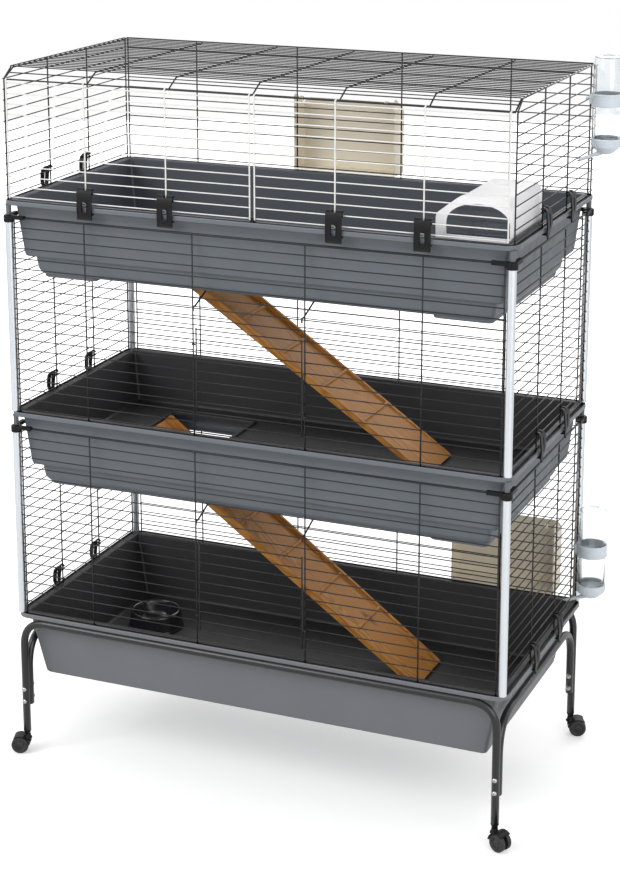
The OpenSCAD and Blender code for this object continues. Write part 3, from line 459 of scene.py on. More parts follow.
def drawn_metal(name, colour, roughness):
    """Satin metal with fine lines along its length."""
    mat, w, shader = new_material(name)
    lines = w.group(RUBBED_LINES, Scale=110.0, Amount=0.6)["Mask"]
    tone = w.group(MOTTLE, Scale=11.0, Strength=0.06)["Value"]
    base = toned(w, srgb(*colour), tone)
    darker = tuple(0.72 * c for c in colour)
    w.join(w.blend(w.math("MULTIPLY", lines, 0.5), base, srgb(*darker)), shader["Base Color"])
    w.join(w.math("ADD", w.math("MULTIPLY", lines, 0.14), roughness), shader["Roughness"])
    w.join(w.bump(lines, 0.2, 0.0001), shader["Normal"])
    shader["Metallic"].default_value = 1.0
    return mat


def varnished_wood(name, pale, deep, slope):
    """Pine under orange varnish: grain lines along the ramp, worn pale on top."""
    mat, w, shader = new_material(name)
    turned = w.add("ShaderNodeMapping")
    w.join(w.where(), turned.inputs["Vector"])
    turned.inputs["Rotation"].default_value = (0.0, -slope, 0.0)
    warp = w.noise(w.stretch(turned.outputs["Vector"], (2.0, 9.0, 9.0)), 1.6, 2.0)
    along = w.stretch(turned.outputs["Vector"], (1.2, 26.0, 26.0))
    bent = w.add("ShaderNodeVectorMath", operation="ADD")
    w.join(along, bent.inputs[0])
    w.join(w.math("MULTIPLY", warp, 2.6), bent.inputs[1])
    rings = w.add("ShaderNodeTexWave", wave_type="BANDS", bands_direction="Y")
    w.join(bent.outputs[0], rings.inputs["Vector"])
    rings.inputs["Scale"].default_value = 1.7
    rings.inputs["Distortion"].default_value = 3.2
    rings.inputs["Detail"].default_value = 3.0
    grain = rings.outputs["Fac"]
    fibres = w.noise(w.stretch(turned.outputs["Vector"], (8.0, 500.0, 500.0)), 1.0, 3.0, 0.7)
    figure = w.math("ADD", w.math("MULTIPLY", grain, 0.62), w.math("MULTIPLY", fibres, 0.38))
    base = w.blend(figure, srgb(*deep), srgb(*pale))
    knot = w.add("ShaderNodeTexVoronoi")
    w.join(w.stretch(turned.outputs["Vector"], (3.4, 9.0, 9.0)), knot.inputs["Vector"])
    knot.inputs["Scale"].default_value = 1.0
    knots = w.between(knot.outputs["Distance"], 0.05, 0.11, 0.8, 0.0)
    base = w.blend(knots, base, srgb(92, 48, 18))
    rub = w.group(EDGE_WEAR, Radius=0.002, Amount=0.9, Breakup=45.0)["Mask"]
    base = w.blend(rub, base, srgb(206, 160, 96))
    film = w.group(SETTLED_DUST, Amount=0.08, Scale=18.0)["Mask"]
    w.join(w.blend(film, base, srgb(170, 128, 78)), shader["Base Color"])
    w.join(w.between(figure, 0.2, 0.8, 0.62, 0.5), shader["Roughness"])
    w.join(w.bump(figure, 0.35, 0.0005), shader["Normal"])
    shader["Specular IOR Level"].default_value = 0.28
    return mat


def clear_plastic(name, colour, edge_shade_colour, roughness, scuffs=0.35):
    """Clear moulded plastic: painted shade where it is seen edge on, lightly scuffed, a little wavy."""
    mat, w, shader = new_material(name)
    lines = w.group(RUBBED_LINES, Scale=70.0, Amount=scuffs)["Mask"]
    tone = w.group(MOTTLE, Scale=12.0, Strength=0.03)["Value"]
    # Towards the edge-on rim the colour blends to a grey painted shade, which stands in for the dark edges
    # that refraction gives clear plastic.
    edge = w.add("ShaderNodeLayerWeight")
    edge.inputs["Blend"].default_value = 0.35
    rim = w.between(edge.outputs["Facing"], 0.45, 1.0, 0.0, 1.0)
    w.join(w.blend(rim, toned(w, srgb(*colour), tone), srgb(*edge_shade_colour)), shader["Base Color"])
    w.join(w.math("ADD", w.math("MULTIPLY", lines, 0.3), roughness), shader["Roughness"])
    w.join(w.bump(w.noise(w.where(), 24.0, 2.0), 0.12, 0.002), shader["Normal"])
    shader["Transmission Weight"].default_value = 1.0
    shader["IOR"].default_value = 1.45
    return mat


MATERIALS = {
    "tub_outside": moulded_plastic("tub_outside", (104, 106, 111), (146, 148, 152), (140, 137, 131)),
    "tray_outside": moulded_plastic("tray_outside", (96, 102, 108), (136, 141, 146), (144, 143, 138)),
    # The tray insides are the outsides' plastic darkened as painted shade: charcoal in the two lower trays
    # under the trays above, slate in the top tray.
    "top_inside_painted_shade": moulded_plastic("top_inside_painted_shade", (66, 72, 80), (110, 116, 122), (126, 122, 115), 0.5),
    "tray_inside_painted_shade": moulded_plastic("tray_inside_painted_shade", (42, 42, 45), (84, 85, 88), (96, 93, 88), 0.5),
    # The groove's near-black colour is painted shade: the rim groove is the tray's own plastic, drawn dark as
    # the shadow that lies in it.
    "groove_painted_shade": moulded_plastic("groove_painted_shade", (15, 15, 17), (40, 41, 44), (60, 58, 54), 0.6),
    "black_plastic": moulded_plastic("black_plastic", (10, 10, 12), (44, 44, 46), (70, 68, 66), 0.44, 0.3,
    0.03, 0.4, 0.24),
    "tread": moulded_plastic("tread", (34, 34, 36), (92, 90, 88), (132, 126, 116), 0.48, 0.4, 0.1, 0.9),
    "bowl": moulded_plastic("bowl", (32, 32, 35), (84, 84, 88), (104, 100, 94), 0.2, 0.1, 0.05),
    "house_shell": moulded_plastic("house_shell", (236, 235, 237), (246, 246, 246), (218, 214, 206), 0.4,
    0.15, 0.06, 0.3),
    "cream_plastic": moulded_plastic("cream_plastic", (234, 225, 206), (244, 238, 226), (206, 197, 180),
    0.44),
    "ring_plastic": moulded_plastic("ring_plastic", (206, 215, 222), (226, 232, 237), (196, 198, 196), 0.3,
    0.1, 0.05),
    "black_wire": coated_wire("black_wire", (12, 12, 14), (58, 56, 54), 0.42),
    "white_wire": coated_wire("white_wire", (226, 226, 222), (150, 146, 138), 0.3),
    "stand_steel": powder_coat("stand_steel", (15, 15, 17)),
    "post_aluminium": drawn_metal("post_aluminium", (222, 227, 231), 0.36),
    "bolt_steel": drawn_metal("bolt_steel", (190, 188, 184), 0.24),
    # The second colour of each clear plastic is its painted edge shade.
    "clear_bottle": clear_plastic("clear_bottle", (245, 248, 249), (138, 146, 153), 0.05),
    "clear_window": clear_plastic("clear_window", (186, 194, 204), (120, 132, 146), 0.08, 0.5),
}


# Mesh tools. Points are in millimetres until new_piece writes the mesh.

# A point of a turned outline that is nearer to the axis than this lies on it
ON_AXIS = 0.01


def points(*triples):
    return [Vector(p) for p in triples]


def rounded(path, radius, steps=5):
    """The path with each inner corner turned into an arc."""
    path = [Vector(p) for p in path]
    out = [path[0]]
    for before, corner, after in zip(path, path[1:], path[2:]):
        back = before - corner
        ahead = after - corner
        half = back.angle(ahead) / 2
        cut = min(radius / math.tan(half), back.length * 0.48, ahead.length * 0.48)
        start = corner + back.normalized() * cut
        end = corner + ahead.normalized() * cut
        for k in range(steps + 1):
            t = k / steps
            out.append(start * (1 - t) ** 2 + corner * 2 * t * (1 - t) + end * t * t)
    out.append(path[-1])
    return out


def sweep(bm, path, width, sides=10, slot=0, blunt=0.18):
    """A round bar along a path, with softened ends."""
    path = [Vector(p) for p in path]
    steps = [(b - a).normalized() for a, b in zip(path, path[1:])]
    turns = [steps[0]] + [(a + b).normalized() for a, b in zip(steps, steps[1:])] + [steps[-1]]
    r = width / 2
    soft = r * blunt
    stations = [(path[0], turns[0], r - soft), (path[0] + steps[0] * soft, turns[0], r)]
    stations += [(p, t, r) for p, t in zip(path[1:-1], turns[1:-1])]
    stations += [(path[-1] - steps[-1] * soft, turns[-1], r), (path[-1], turns[-1], r - soft)]
    side = stations[0][1].orthogonal().normalized()
    last = stations[0][1]
    rings = []
    for centre, turn, radius in stations:
        side = last.rotation_difference(turn) @ side
        last = turn
        other = turn.cross(side)
        rings.append([
            bm.verts.new(centre + (side * math.cos(a) + other * math.sin(a)) * radius)
            for a in (2 * math.pi * k / sides for k in range(sides))
        ])
    skin(bm, rings, slot)


def skin(bm, rings, slot=0, caps=(True, True), slots=None):
    """Faces between rings of vertices that run anticlockwise seen from the last one."""
    for i, (low, high) in enumerate(zip(rings, rings[1:])):
        for k in range(len(low)):
            j = (k + 1) % len(low)
            face = bm.faces.new((low[k], low[j], high[j], high[k]))
            face.material_index = slots[i] if slots else slot
    if caps[0]:
        bm.faces.new(list(reversed(rings[0]))).material_index = slots[0] if slots else slot
    if caps[1]:
        bm.faces.new(rings[-1]).material_index = slots[-1] if slots else slot


def ring_points(hx, hy, r, z, steps=8, centre=(0.0, 0.0)):
    """A rounded rectangle, anticlockwise from above."""
    out = []
    for q, (sx, sy) in enumerate(((1, 1), (-1, 1), (-1, -1), (1, -1))):
        for k in range(steps + 1):
            a = math.radians(90 * q + 90 * k / steps)
            out.append(Vector((
                centre[0] + sx * (hx - r) + r * math.cos(a), centre[1] + sy * (hy - r) + r * math.sin(a), z)))
    return out


def loft(bm, rings, slot=0, caps=(True, True), slots=None):
    made = [[bm.verts.new(p) for p in ring] for ring in rings]
    skin(bm, made, slot, caps, slots)
    return made


def circle(radius, sides):
    """Points of a circle round the origin, anticlockwise from the X axis."""
    turns = (2 * math.pi * k / sides for k in range(sides))
    return [(radius * math.cos(a), radius * math.sin(a)) for a in turns]


def lathe(bm, outline, centre, sides=48, slot=0, closed=False):
    """A turned solid from (radius, height) points that start and end on the axis.

    A closed outline is a shell's section, whose last point repeats its first.
    """
    centre = Vector(centre)
    rings = []
    for radius, height in outline[:-1] if closed else outline:
        if radius < ON_AXIS:
            rings.append(bm.verts.new(centre + Vector((0, 0, height))))
        else:
            rings.append([bm.verts.new(centre + Vector((x, y, height))) for x, y in circle(radius, sides)])
    pairs = list(zip(rings, rings[1:]))
    if closed:
        pairs.append((rings[-1], rings[0]))
    for low, high in pairs:
        if not isinstance(low, list) and not isinstance(high, list):
            continue
        for k in range(sides):
            j = (k + 1) % sides
            if isinstance(low, list) and isinstance(high, list):
                corners = (low[k], low[j], high[j], high[k])
            elif isinstance(high, list):
                corners = (low, high[j], high[k])
            else:
                corners = (low[k], low[j], high)
            bm.faces.new(corners).material_index = slot


def slab(bm, outline, along, soft=0.0, slot=0, segments=2):
    """A flat outline pushed along a vector, with its edges softened."""
    outline = [Vector(p) for p in outline]
    along = Vector(along)
    low = [bm.verts.new(p) for p in outline]
    high = [bm.verts.new(p + along) for p in outline]
    faces = [bm.faces.new(list(reversed(low))), bm.faces.new(high)]
    for k in range(len(low)):
        j = (k + 1) % len(low)
        faces.append(bm.faces.new((low[k], low[j], high[j], high[k])))
    for face in faces:
        face.material_index = slot
    if soft > 0:
        edges = {e for f in faces for e in f.edges if e.calc_face_angle(0.0) > 0.35}
        bmesh.ops.bevel(bm, geom=list(edges), offset=soft, segments=segments, profile=0.5, affect="EDGES",
                        clamp_overlap=True, material=-1)


def block(bm, low, high, soft=0.8, slot=0):
    low, high = Vector(low), Vector(high)
    corners = [(low.x, low.y, low.z), (high.x, low.y, low.z), (high.x, high.y, low.z), (low.x, high.y, low.z)]
    slab(bm, corners, (0, 0, high.z - low.z), soft, slot)


def arc(cx, cy, r, start, end, steps):
    """Points of an arc in a plane, angles in degrees."""
    turns = (math.radians(start + (end - start) * k / steps) for k in range(steps + 1))
    return [(cx + r * math.cos(a), cy + r * math.sin(a)) for a in turns]


def join_shape(bm, shape):
    """Add one shape to another and let go of the first."""
    mesh = bpy.data.meshes.new("shape")
    shape.to_mesh(mesh)
    shape.free()
    bm.from_mesh(mesh)
    bpy.data.meshes.remove(mesh)


def finish_mesh(name, bm, mats, smooth):
    bmesh.ops.recalc_face_normals(bm, faces=bm.faces)
    mesh = bpy.data.meshes.new(name)
    bm.to_mesh(mesh)
    bm.free()
    mesh.transform(Matrix.Scale(MM, 4))
    for key in mats:
        mesh.materials.append(MATERIALS[key])
    mesh.shade_smooth()
    mesh.set_sharp_from_angle(angle=math.radians(smooth))
    return mesh


def new_piece(name, bm, mats, body, nodes=(), smooth=38):
    """Write a mesh in metres, ride it on its body and let it stand for its CAD nodes."""
    piece = bpy.data.objects.new(name, finish_mesh(name, bm, mats, smooth))
    bpy.context.scene.collection.objects.link(piece)
    if nodes:
        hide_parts(*nodes)
    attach(piece, body)
    return piece


# Trays

TUB_X = HALF_L - FLANGE_W + WALL
TUB_Y = HALF_W - FLANGE_W + WALL
TUB_R = RIM_R - FLANGE_W + WALL
TUB_DEPTH = 155.0
TUB_LEAN = (32.0, 17.0)
UPPER_DEPTH = 129.0
UPPER_LEAN = (15.0, 10.0)
SKIRT_STEP = 19.0
SKIRT_H = 43.0
SKIRT_FOOT = 30.0
SKIRT_TURN = 12.0
PAD_H = 8.0
PAD_L = 130.0
HATCH = (-420.0, -22.0, -210.0, 194.0)
BORDER_W = 8.0
BORDER_H = 6.0
# The GROOVE slot carries near-black painted shade, and the INSIDE slot a darker painted-shade copy of the
# tray plastic.
OUTSIDE, INSIDE, GROOVE = 0, 1, 2


def round_section(section, cuts, steps=4):
    """Round a section's corners. Its points are (half length, half width, corner radius, height)."""
    out = [section[0]]
    for before, corner, after, cut in zip(section, section[1:], section[2:], cuts):
        def toward(other):
            length = math.dist(corner, other)
            share = min(cut / length, 0.49)
            return [c + (o - c) * share for c, o in zip(corner, other)]
        start, end = toward(before), toward(after)
        for k in range(steps + 1):
            t = k / steps
            out.append(tuple(
                s * (1 - t) ** 2 + c * 2 * t * (1 - t) + e * t * t for s, c, e in zip(start, corner, end)))
    out.append(section[-1])
    return out


def rim_section(z, lean, depth):
    """From under the lip, over it and the groove, to the flange's inner edge."""
    slope = LIP_H / depth
    g = GROOVE_W / 2
    return [
        (TUB_X - lean[0] * slope, TUB_Y - lean[1] * slope, TUB_R, z - LIP_H),
        (HALF_L, HALF_W, RIM_R, z - LIP_H),
        (HALF_L, HALF_W, RIM_R, z),
        (HALF_L - WIRE_INSET + g, HALF_W - WIRE_INSET + g, RIM_R - WIRE_INSET + g, z),
        (HALF_L - WIRE_INSET + g, HALF_W - WIRE_INSET + g, RIM_R - WIRE_INSET + g, z - GROOVE_D),
        (HALF_L - WIRE_INSET - g, HALF_W - WIRE_INSET - g, RIM_R - WIRE_INSET - g, z - GROOVE_D),
        (HALF_L - WIRE_INSET - g, HALF_W - WIRE_INSET - g, RIM_R - WIRE_INSET - g, z),
        (HALF_L - FLANGE_W, HALF_W - FLANGE_W, RIM_R - FLANGE_W, z),
    ]


RIM_CUTS = [1.5, 2.2, 2.6, 0.8, 0.6, 0.6, 0.8, 3.0]


def section_rings(section):
    return [ring_points(hx, hy, max(r, 1.0), z) for hx, hy, r, z in section]


def strip_slots(section, z):
    """Outside up to the lip's top, near-black painted shade in the groove, inside from the flange on."""
    top_passed = False
    out = []
    for (ax, _, _, az), (bx, _, _, bz) in zip(section, section[1:]):
        mid_x = (ax + bx) / 2
        mid_z = (az + bz) / 2
        if not top_passed and mid_z >= z - 0.2 and mid_x < HALF_L - 2.0:
            top_passed = True
        in_groove = abs(mid_x - HALF_L + WIRE_INSET) < GROOVE_W / 2 + 0.4 and mid_z < z - 0.3
        if in_groove and top_passed:
            out.append(GROOVE)
        elif top_passed and mid_x < HALF_L - FLANGE_W / 2:
            out.append(INSIDE)
        else:
            out.append(OUTSIDE)
    return out


def fill_between(bm, outer, inner, slot):
    """A flat face between two closed loops of vertices."""
    edges = []
    for loop in (outer, inner):
        for k in range(len(loop)):
            a, b = loop[k], loop[(k + 1) % len(loop)]
            edges.append(bm.edges.get((a, b)) or bm.edges.new((a, b)))
    made = bmesh.ops.triangle_fill(bm, edges=edges, use_beauty=True, use_dissolve=False)
    # The middle tray's charcoal inside and the top tray's slate inside are painted shade.
    for face in made["geom"]:
        if isinstance(face, bmesh.types.BMFace):
            face.material_index = slot


def bottom_tray():
    z = RIMS[0]
    low = z - TUB_DEPTH
    lean = TUB_LEAN
    inner_x = HALF_L - FLANGE_W - lean[0] * (TUB_DEPTH - WALL) / TUB_DEPTH
    inner_y = HALF_W - FLANGE_W - lean[1] * (TUB_DEPTH - WALL) / TUB_DEPTH
    fx, fy = TUB_X - lean[0], TUB_Y - lean[1]
    inner_r = RIM_R - FLANGE_W
    section = [(fx - 14, fy - 14, TUB_R, low), (fx, fy, TUB_R, low)]
    section += rim_section(z, lean, TUB_DEPTH)
    section += [(inner_x, inner_y, inner_r, low + WALL), (inner_x - 16, inner_y - 16, inner_r, low + WALL)]
    section = round_section(section, [9.0] + RIM_CUTS + [9.0])
    bm = bmesh.new()
    loft(bm, section_rings(section), slots=strip_slots(section, z))
    for x in (-300.0, 0.0, 300.0):
        block(bm, (x - 5, -TUB_Y + 60, low - 1.6), (x + 5, TUB_Y - 60, low + 1), 1.0, OUTSIDE)
    new_piece("tray_bottom_shell", bm, ("tub_outside", "tray_inside_painted_shade", "groove_painted_shade"), "cage",
              ("tray_bottom",))


def upper_tray(name, z, node, inside):
    lean = UPPER_LEAN
    base = z - UPPER_DEPTH
    low = base - SKIRT_H
    fx, fy = TUB_X - lean[0], TUB_Y - lean[1]
    sx, sy = fx - SKIRT_STEP, fy - SKIRT_STEP * 0.7
    full = (UPPER_DEPTH - WALL) / UPPER_DEPTH
    inner_x = HALF_L - FLANGE_W - lean[0] * full
    inner_y = HALF_W - FLANGE_W - lean[1] * full
    section = [
        (sx - WALL, sy - WALL, TUB_R, base),
        (sx - 4 - WALL, sy - 4 - WALL, TUB_R, low + SKIRT_TURN),
        (sx - SKIRT_TURN - 1, sy - SKIRT_TURN - 1, TUB_R, low + WALL),
        (sx - SKIRT_FOOT, sy - SKIRT_FOOT, TUB_R, low + WALL),
        (sx - SKIRT_FOOT, sy - SKIRT_FOOT, TUB_R, low),
        (sx - SKIRT_TURN, sy - SKIRT_TURN, TUB_R, low),
        (sx - 4, sy - 4, TUB_R, low + SKIRT_TURN),
        (sx, sy, TUB_R, base),
        (fx, fy, TUB_R, base),
    ]
    section += rim_section(z, lean, UPPER_DEPTH)
    inner_r = RIM_R - FLANGE_W
    section += [(inner_x, inner_y, inner_r, base + WALL), (inner_x - 14, inner_y - 14, inner_r, base + WALL)]
    section = round_section(section, [4.0, 3.0, 1.0, 1.0, 5.0, 4.0, 4.0, 7.0] + RIM_CUTS + [8.0])
    bm = bmesh.new()
    made = loft(bm, section_rings(section), caps=(False, False), slots=strip_slots(section, z))
    x0, y0, x1, y1 = HATCH
    mid = ((x0 + x1) / 2, (y0 + y1) / 2)
    half = ((x1 - x0) / 2, (y1 - y0) / 2)
    b = BORDER_W

    def hatch_ring(grow, height, r):
        return ring_points(half[0] + grow, half[1] + grow, r, height, 3, mid)

    top = base + WALL + BORDER_H
    border = [hatch_ring(0.0, base, 2.0), hatch_ring(0.0, top - 1.5, 2.0)]
    border += [hatch_ring(0.5, top - 0.4, 2.2), hatch_ring(1.5, top, 2.6)]
    border += [hatch_ring(b - 1.5, top, 4.0), hatch_ring(b - 0.5, top - 0.4, 4.0)]
    border += [hatch_ring(b, top - 1.5, 4.0), hatch_ring(b, base + WALL, 4.0)]
    edge = loft(bm, border, INSIDE, caps=(False, False))
    fill_between(bm, made[0], edge[0], OUTSIDE)
    fill_between(bm, made[-1], edge[-1], INSIDE)
    foot_x = sx - SKIRT_TURN - PAD_L / 2
    for side in (-1, 1):
        pad = [(PAD_L / 2 - 6, sy - 23, 10.0, low - PAD_H), (PAD_L / 2, sy - 17, 12.0, low - PAD_H),
               (PAD_L / 2 + 1, sy - 16, 12.0, low + 0.5), (PAD_L / 2 - 10, sy - 26, 12.0, low + 0.5)]
        rings = [
            ring_points(hx, hy, r, h, 6, (side * foot_x, 0.0)) for hx, hy, r,
            h in round_section(pad, [3.5, 0.5])
        ]
        loft(bm, rings, OUTSIDE)
    peg = PITCH - POST_H - LIP_H + SOCKET_D - CAP_H
    top = z - LIP_H + 0.5
    foot = top - 0.5 - peg
    outline = [(0, foot), (4.6, foot), (5.7, foot + 0.5), (6.0, foot + 1.4)]
    outline += [(6.0, top - 3), (7.2, top - 0.8), (8.5, top), (0, top)]
    for px in (-POST_X, POST_X):
        for py in (-POST_Y, POST_Y):
            lathe(bm, outline, (px, py, 0), 28, OUTSIDE)
    new_piece(name, bm, ("tray_outside", inside, "groove_painted_shade"), "cage", (node,))


# Corner posts and connectors

POST_D = 18.0
POST_INSET = 12.0
POST_H = 442.0
CAP_D = 24.0
CAP_H = 16.0
SOCKET_D = 7.0
ARM_L = 42.0
ARM_T = 9.0
POST_X = HALF_L - POST_INSET
POST_Y = HALF_W - POST_INSET
FRONT_END_X = POST_X - POST_D / 2 - 2.0
SIDE_END_Y = POST_Y - POST_D / 2 - 2.0


def corner_posts():
    bm = bmesh.new()
    r = POST_D / 2
    for z in RIMS[:2]:
        for x in (-POST_X, POST_X):
            for y in (-POST_Y, POST_Y):
                top = z + POST_H
                outline = [(0, z + 0.1), (r - 0.6, z + 0.1), (r, z + 0.7), (r, top - 0.6), (r - 0.5, top),
                    (0, top)]
                lathe(bm, outline, (x, y, 0), 40)
    new_piece("post_tubes", bm, ("post_aluminium",), "cage", ("corner_posts",))


def corner_connectors():
    """Caps on the posts, with a rounded crown and two ribbed arms that take the walls' top wires."""
    bm = bmesh.new()
    for z in RIMS[:2]:
        low = z + POST_H - SOCKET_D
        arm_z = z + LOW_TOP
        for sx in (-1, 1):
            for sy in (-1, 1):
                x, y = sx * POST_X, sy * POST_Y
                r = CAP_D / 2
                outline = [(POST_D / 2 + 0.15, 0), (r - 0.8, 0), (r, 0.8), (r, CAP_H - 3.2)]
                outline += [(r - 3 + 3 * math.cos(a), CAP_H - 3 + 3 * math.sin(a)) for a in (0.2, 0.6, 1.0,
                    1.4)]
                outline += [(7.0, CAP_H), (0, CAP_H)]
                lathe(bm, [(0, SOCKET_D + 0.1), (POST_D / 2 + 0.15, SOCKET_D + 0.1)] + outline, (x, y, low),
                    40)
                half = ARM_T / 2
                top = low + CAP_H
                ax = sorted((x - sx * 8.0, x - sx * ARM_L))
                ay = sorted((y - sy * 8.0, y - sy * ARM_L))
                wx, wy = sx * WALL_X, sy * WALL_Y
                over = arm_z + RAIL_D / 2 + 0.3
                block(bm, (ax[0], wy - half, over), (ax[1], wy + half, top), 0.9)
                block(bm, (wx - half, ay[0], over), (wx + half, ay[1], top), 0.9)
                for side in (-1, 1):
                    edge = sorted((wy + side * half, wy + side * (half - 1.7)))
                    block(bm, (ax[0], edge[0], arm_z - half), (ax[1], edge[1], top - 1), 0.6)
                    edge = sorted((wx + side * half, wx + side * (half - 1.7)))
                    block(bm, (edge[0], ay[0], arm_z - half), (edge[1], ay[1], top - 1), 0.6)
    new_piece("post_connectors", bm, ("black_plastic",), "cage", ("corner_connectors",))


# Wire walls, each one piece of crossed wires

STEP = UPRIGHT_D / 2 + WIRE_D / 2 - 0.6
FOOT = 0.3 - GROOVE_D
JOIN = UPRIGHT_D / 2 + WIRE_D / 2 + 0.3
LOW_DOOR_ROWS = 10
DOOR_SIDE = 7.0


def low_row(z, k):
    """The height of a lower storey's wire."""
    return z + FIRST_WIRE + k * LOW_PITCH


def top_row(k):
    return RIMS[2] + FIRST_WIRE + k * TOP_PITCH


def wire_wall(name, lines, node):
    """Lines are (path, width): thin wires, uprights and rails of one wall."""
    bm = bmesh.new()
    for path, width in lines:
        sweep(bm, path, width, 8 if width < UPRIGHT_D else 10)
    new_piece(name, bm, ("black_wire",), "cage", (node,), smooth=50)


def row(x0, x1, y, h, width=WIRE_D):
    """A wire that runs along the cage."""
    return [(x0, y, h), (x1, y, h)], width


def crossing(x, y0, y1, h, width=WIRE_D):
    """A wire that runs across the cage."""
    return [(x, y0, h), (x, y1, h)], width


def upright(x, y, low, high):
    return [(x, y, low), (x, y, high)], UPRIGHT_D


def long_wall_lines(z, side, doorway):
    """A lower storey's front (side -1) or back wall (side 1)."""
    y = side * WALL_Y
    inner = y - side * STEP
    lines = []
    for k in range(LOW_ROWS):
        h = low_row(z, k)
        if doorway and 1 <= k <= LOW_DOOR_ROWS:
            lines.append(row(-FRONT_END_X, -BAY_X + UPRIGHT_D / 2, y, h))
            lines.append(row(BAY_X - UPRIGHT_D / 2, FRONT_END_X, y, h))
        else:
            lines.append(row(-FRONT_END_X, FRONT_END_X, y, h))
    lines.append(row(-FRONT_END_X, FRONT_END_X, y, z + LOW_TOP, RAIL_D))
    for x in (-FRONT_END_X + UPRIGHT_D, -OUTER_X, -BAY_X, BAY_X, OUTER_X, FRONT_END_X - UPRIGHT_D):
        lines.append(upright(x, inner, z + FOOT, z + LOW_TOP))
    return lines


def end_wall_lines(z):
    lines = []
    for s in (-1, 1):
        x = s * WALL_X
        inner = s * (WALL_X - STEP)
        lines += [crossing(x, -SIDE_END_Y, SIDE_END_Y, low_row(z, k)) for k in range(LOW_ROWS)]
        lines.append(crossing(x, -SIDE_END_Y, SIDE_END_Y, z + LOW_TOP, RAIL_D))
        for y in (-SIDE_END_Y + UPRIGHT_D, -END_Y, END_Y, SIDE_END_Y - UPRIGHT_D):
            lines.append(upright(inner, y, z + FOOT, z + LOW_TOP))
    return lines


MEET_X = 13.0
BAR_PITCH = 193.0
ROOF_X = WALL_X - STEP - UPRIGHT_D - 0.3
ROOF_BACK = WALL_Y - STEP - JOIN
CORNER_BACK = 8.0
ROOF_BARS = [-ROOF_X] + [MEET_X + BAR_PITCH * k for k in range(-2, 3)] + [ROOF_X]


def roof_lines():
    lines = []
    rows = round((ROOF_BACK + BEVEL_TOP_Y) / WIRE_SPACING)
    for k in range(rows + 1):
        y = -BEVEL_TOP_Y + k * (ROOF_BACK + BEVEL_TOP_Y) / rows
        lines.append(row(-ROOF_X, ROOF_X, y, TOP_Z))
    lines.append(row(-ROOF_X, ROOF_X, -WALL_Y, BEVEL_Z, UPRIGHT_D))
    mid_y = -(WALL_Y + BEVEL_TOP_Y) / 2
    mid_z = (TOP_Z + BEVEL_Z) / 2 + 0.4
    lines.append(row(-ROOF_X, ROOF_X, mid_y, mid_z))
    under = TOP_Z - STEP
    for x in ROOF_BARS:
        path = points((x, ROOF_BACK - 0.5, under), (x, -BEVEL_TOP_Y + 1, under),
            (x, -WALL_Y + 1.5, BEVEL_Z - 1))
        lines.append((rounded(path, 5.0), UPRIGHT_D))
    return lines


def top_back_lines():
    end = WALL_X - UPRIGHT_D - WIRE_D
    z = RIMS[2]
    lines = [row(-end, end, WALL_Y, TOP_Z, UPRIGHT_D)]
    lines += [row(-end, end, WALL_Y, top_row(k)) for k in range(TOP_ROWS)]
    for x in (-end + UPRIGHT_D, -OUTER_X, -BAY_X, BAY_X, OUTER_X, end - UPRIGHT_D):
        lines.append(upright(x, WALL_Y - STEP, z + FOOT, TOP_Z - 1))
    return lines


def top_end_lines():
    z = RIMS[2]
    front = -WALL_Y + CORNER_BACK
    lines = []
    for s in (-1, 1):
        x = s * WALL_X
        inner = s * (WALL_X - STEP)
        for k in range(TOP_ROWS):
            h = top_row(k)
            cut = max(0.0, h - BEVEL_Z) * (-front - BEVEL_TOP_Y) / (TOP_Z - BEVEL_Z)
            lines.append(crossing(x, front + cut - UPRIGHT_D / 2, WALL_Y, h))
        lines.append(crossing(x, -BEVEL_TOP_Y, WALL_Y, TOP_Z))
        path = points((inner, front, z + FOOT + 1), (inner, front, BEVEL_Z), (inner, -BEVEL_TOP_Y, TOP_Z - 1))
        lines.append((rounded(path, 4.0), UPRIGHT_D))
        for y in (-END_Y, END_Y, WALL_Y - UPRIGHT_D):
            lines.append(upright(inner, y, z + FOOT, TOP_Z))
    return lines


def make_walls():
    for level, storey in enumerate(("lower", "middle")):
        z = RIMS[level]
        wire_wall(f"{storey}_front_wires", long_wall_lines(z, -1, True), f"{storey}_front_panel")
        wire_wall(f"{storey}_back_wires", long_wall_lines(z, 1, False), f"{storey}_back_panel")
        wire_wall(f"{storey}_end_wires", end_wall_lines(z), f"{storey}_end_panels")
    wire_wall("roof_wires", roof_lines(), "roof_panel")
    wire_wall("top_back_wires", top_back_lines(), "top_back_panel")
    wire_wall("top_end_wires", top_end_lines(), "top_end_panels")


# Doors: loops of wire, curled round the wire that carries them

LOOP_L = 5.0
LOOP_WALL = 1.6
LOOP_GAP = 0.2
TOP_DOOR_ROWS = round((BEVEL_Z - RIMS[2] - 2 * FIRST_WIRE) / WIRE_SPACING)
TOP_DOOR_PITCH = (BEVEL_Z - RIMS[2] - 2 * FIRST_WIRE) / TOP_DOOR_ROWS
BAR_SIDE = 7.0
DOOR_GAP = 11.0
DOOR_END_X = ROOF_X - BAR_SIDE
LEFT_UPRIGHTS = [-DOOR_END_X, ROOF_BARS[1] - BAR_SIDE, ROOF_BARS[2] - BAR_SIDE, MEET_X - DOOR_GAP / 2]
LATCH_Z = 66.0
LATCH_L = 96.0
LATCH_FIRST = math.floor((LATCH_Z - FIRST_WIRE) / LOW_PITCH) + 1
LATCH_ROWS = (LATCH_FIRST, LATCH_FIRST + math.floor(LATCH_L / LOW_PITCH) - 1)
RIGHT_UPRIGHTS = [MEET_X + DOOR_GAP / 2, ROOF_BARS[4] - BAR_SIDE, ROOF_BARS[5] - BAR_SIDE, DOOR_END_X]


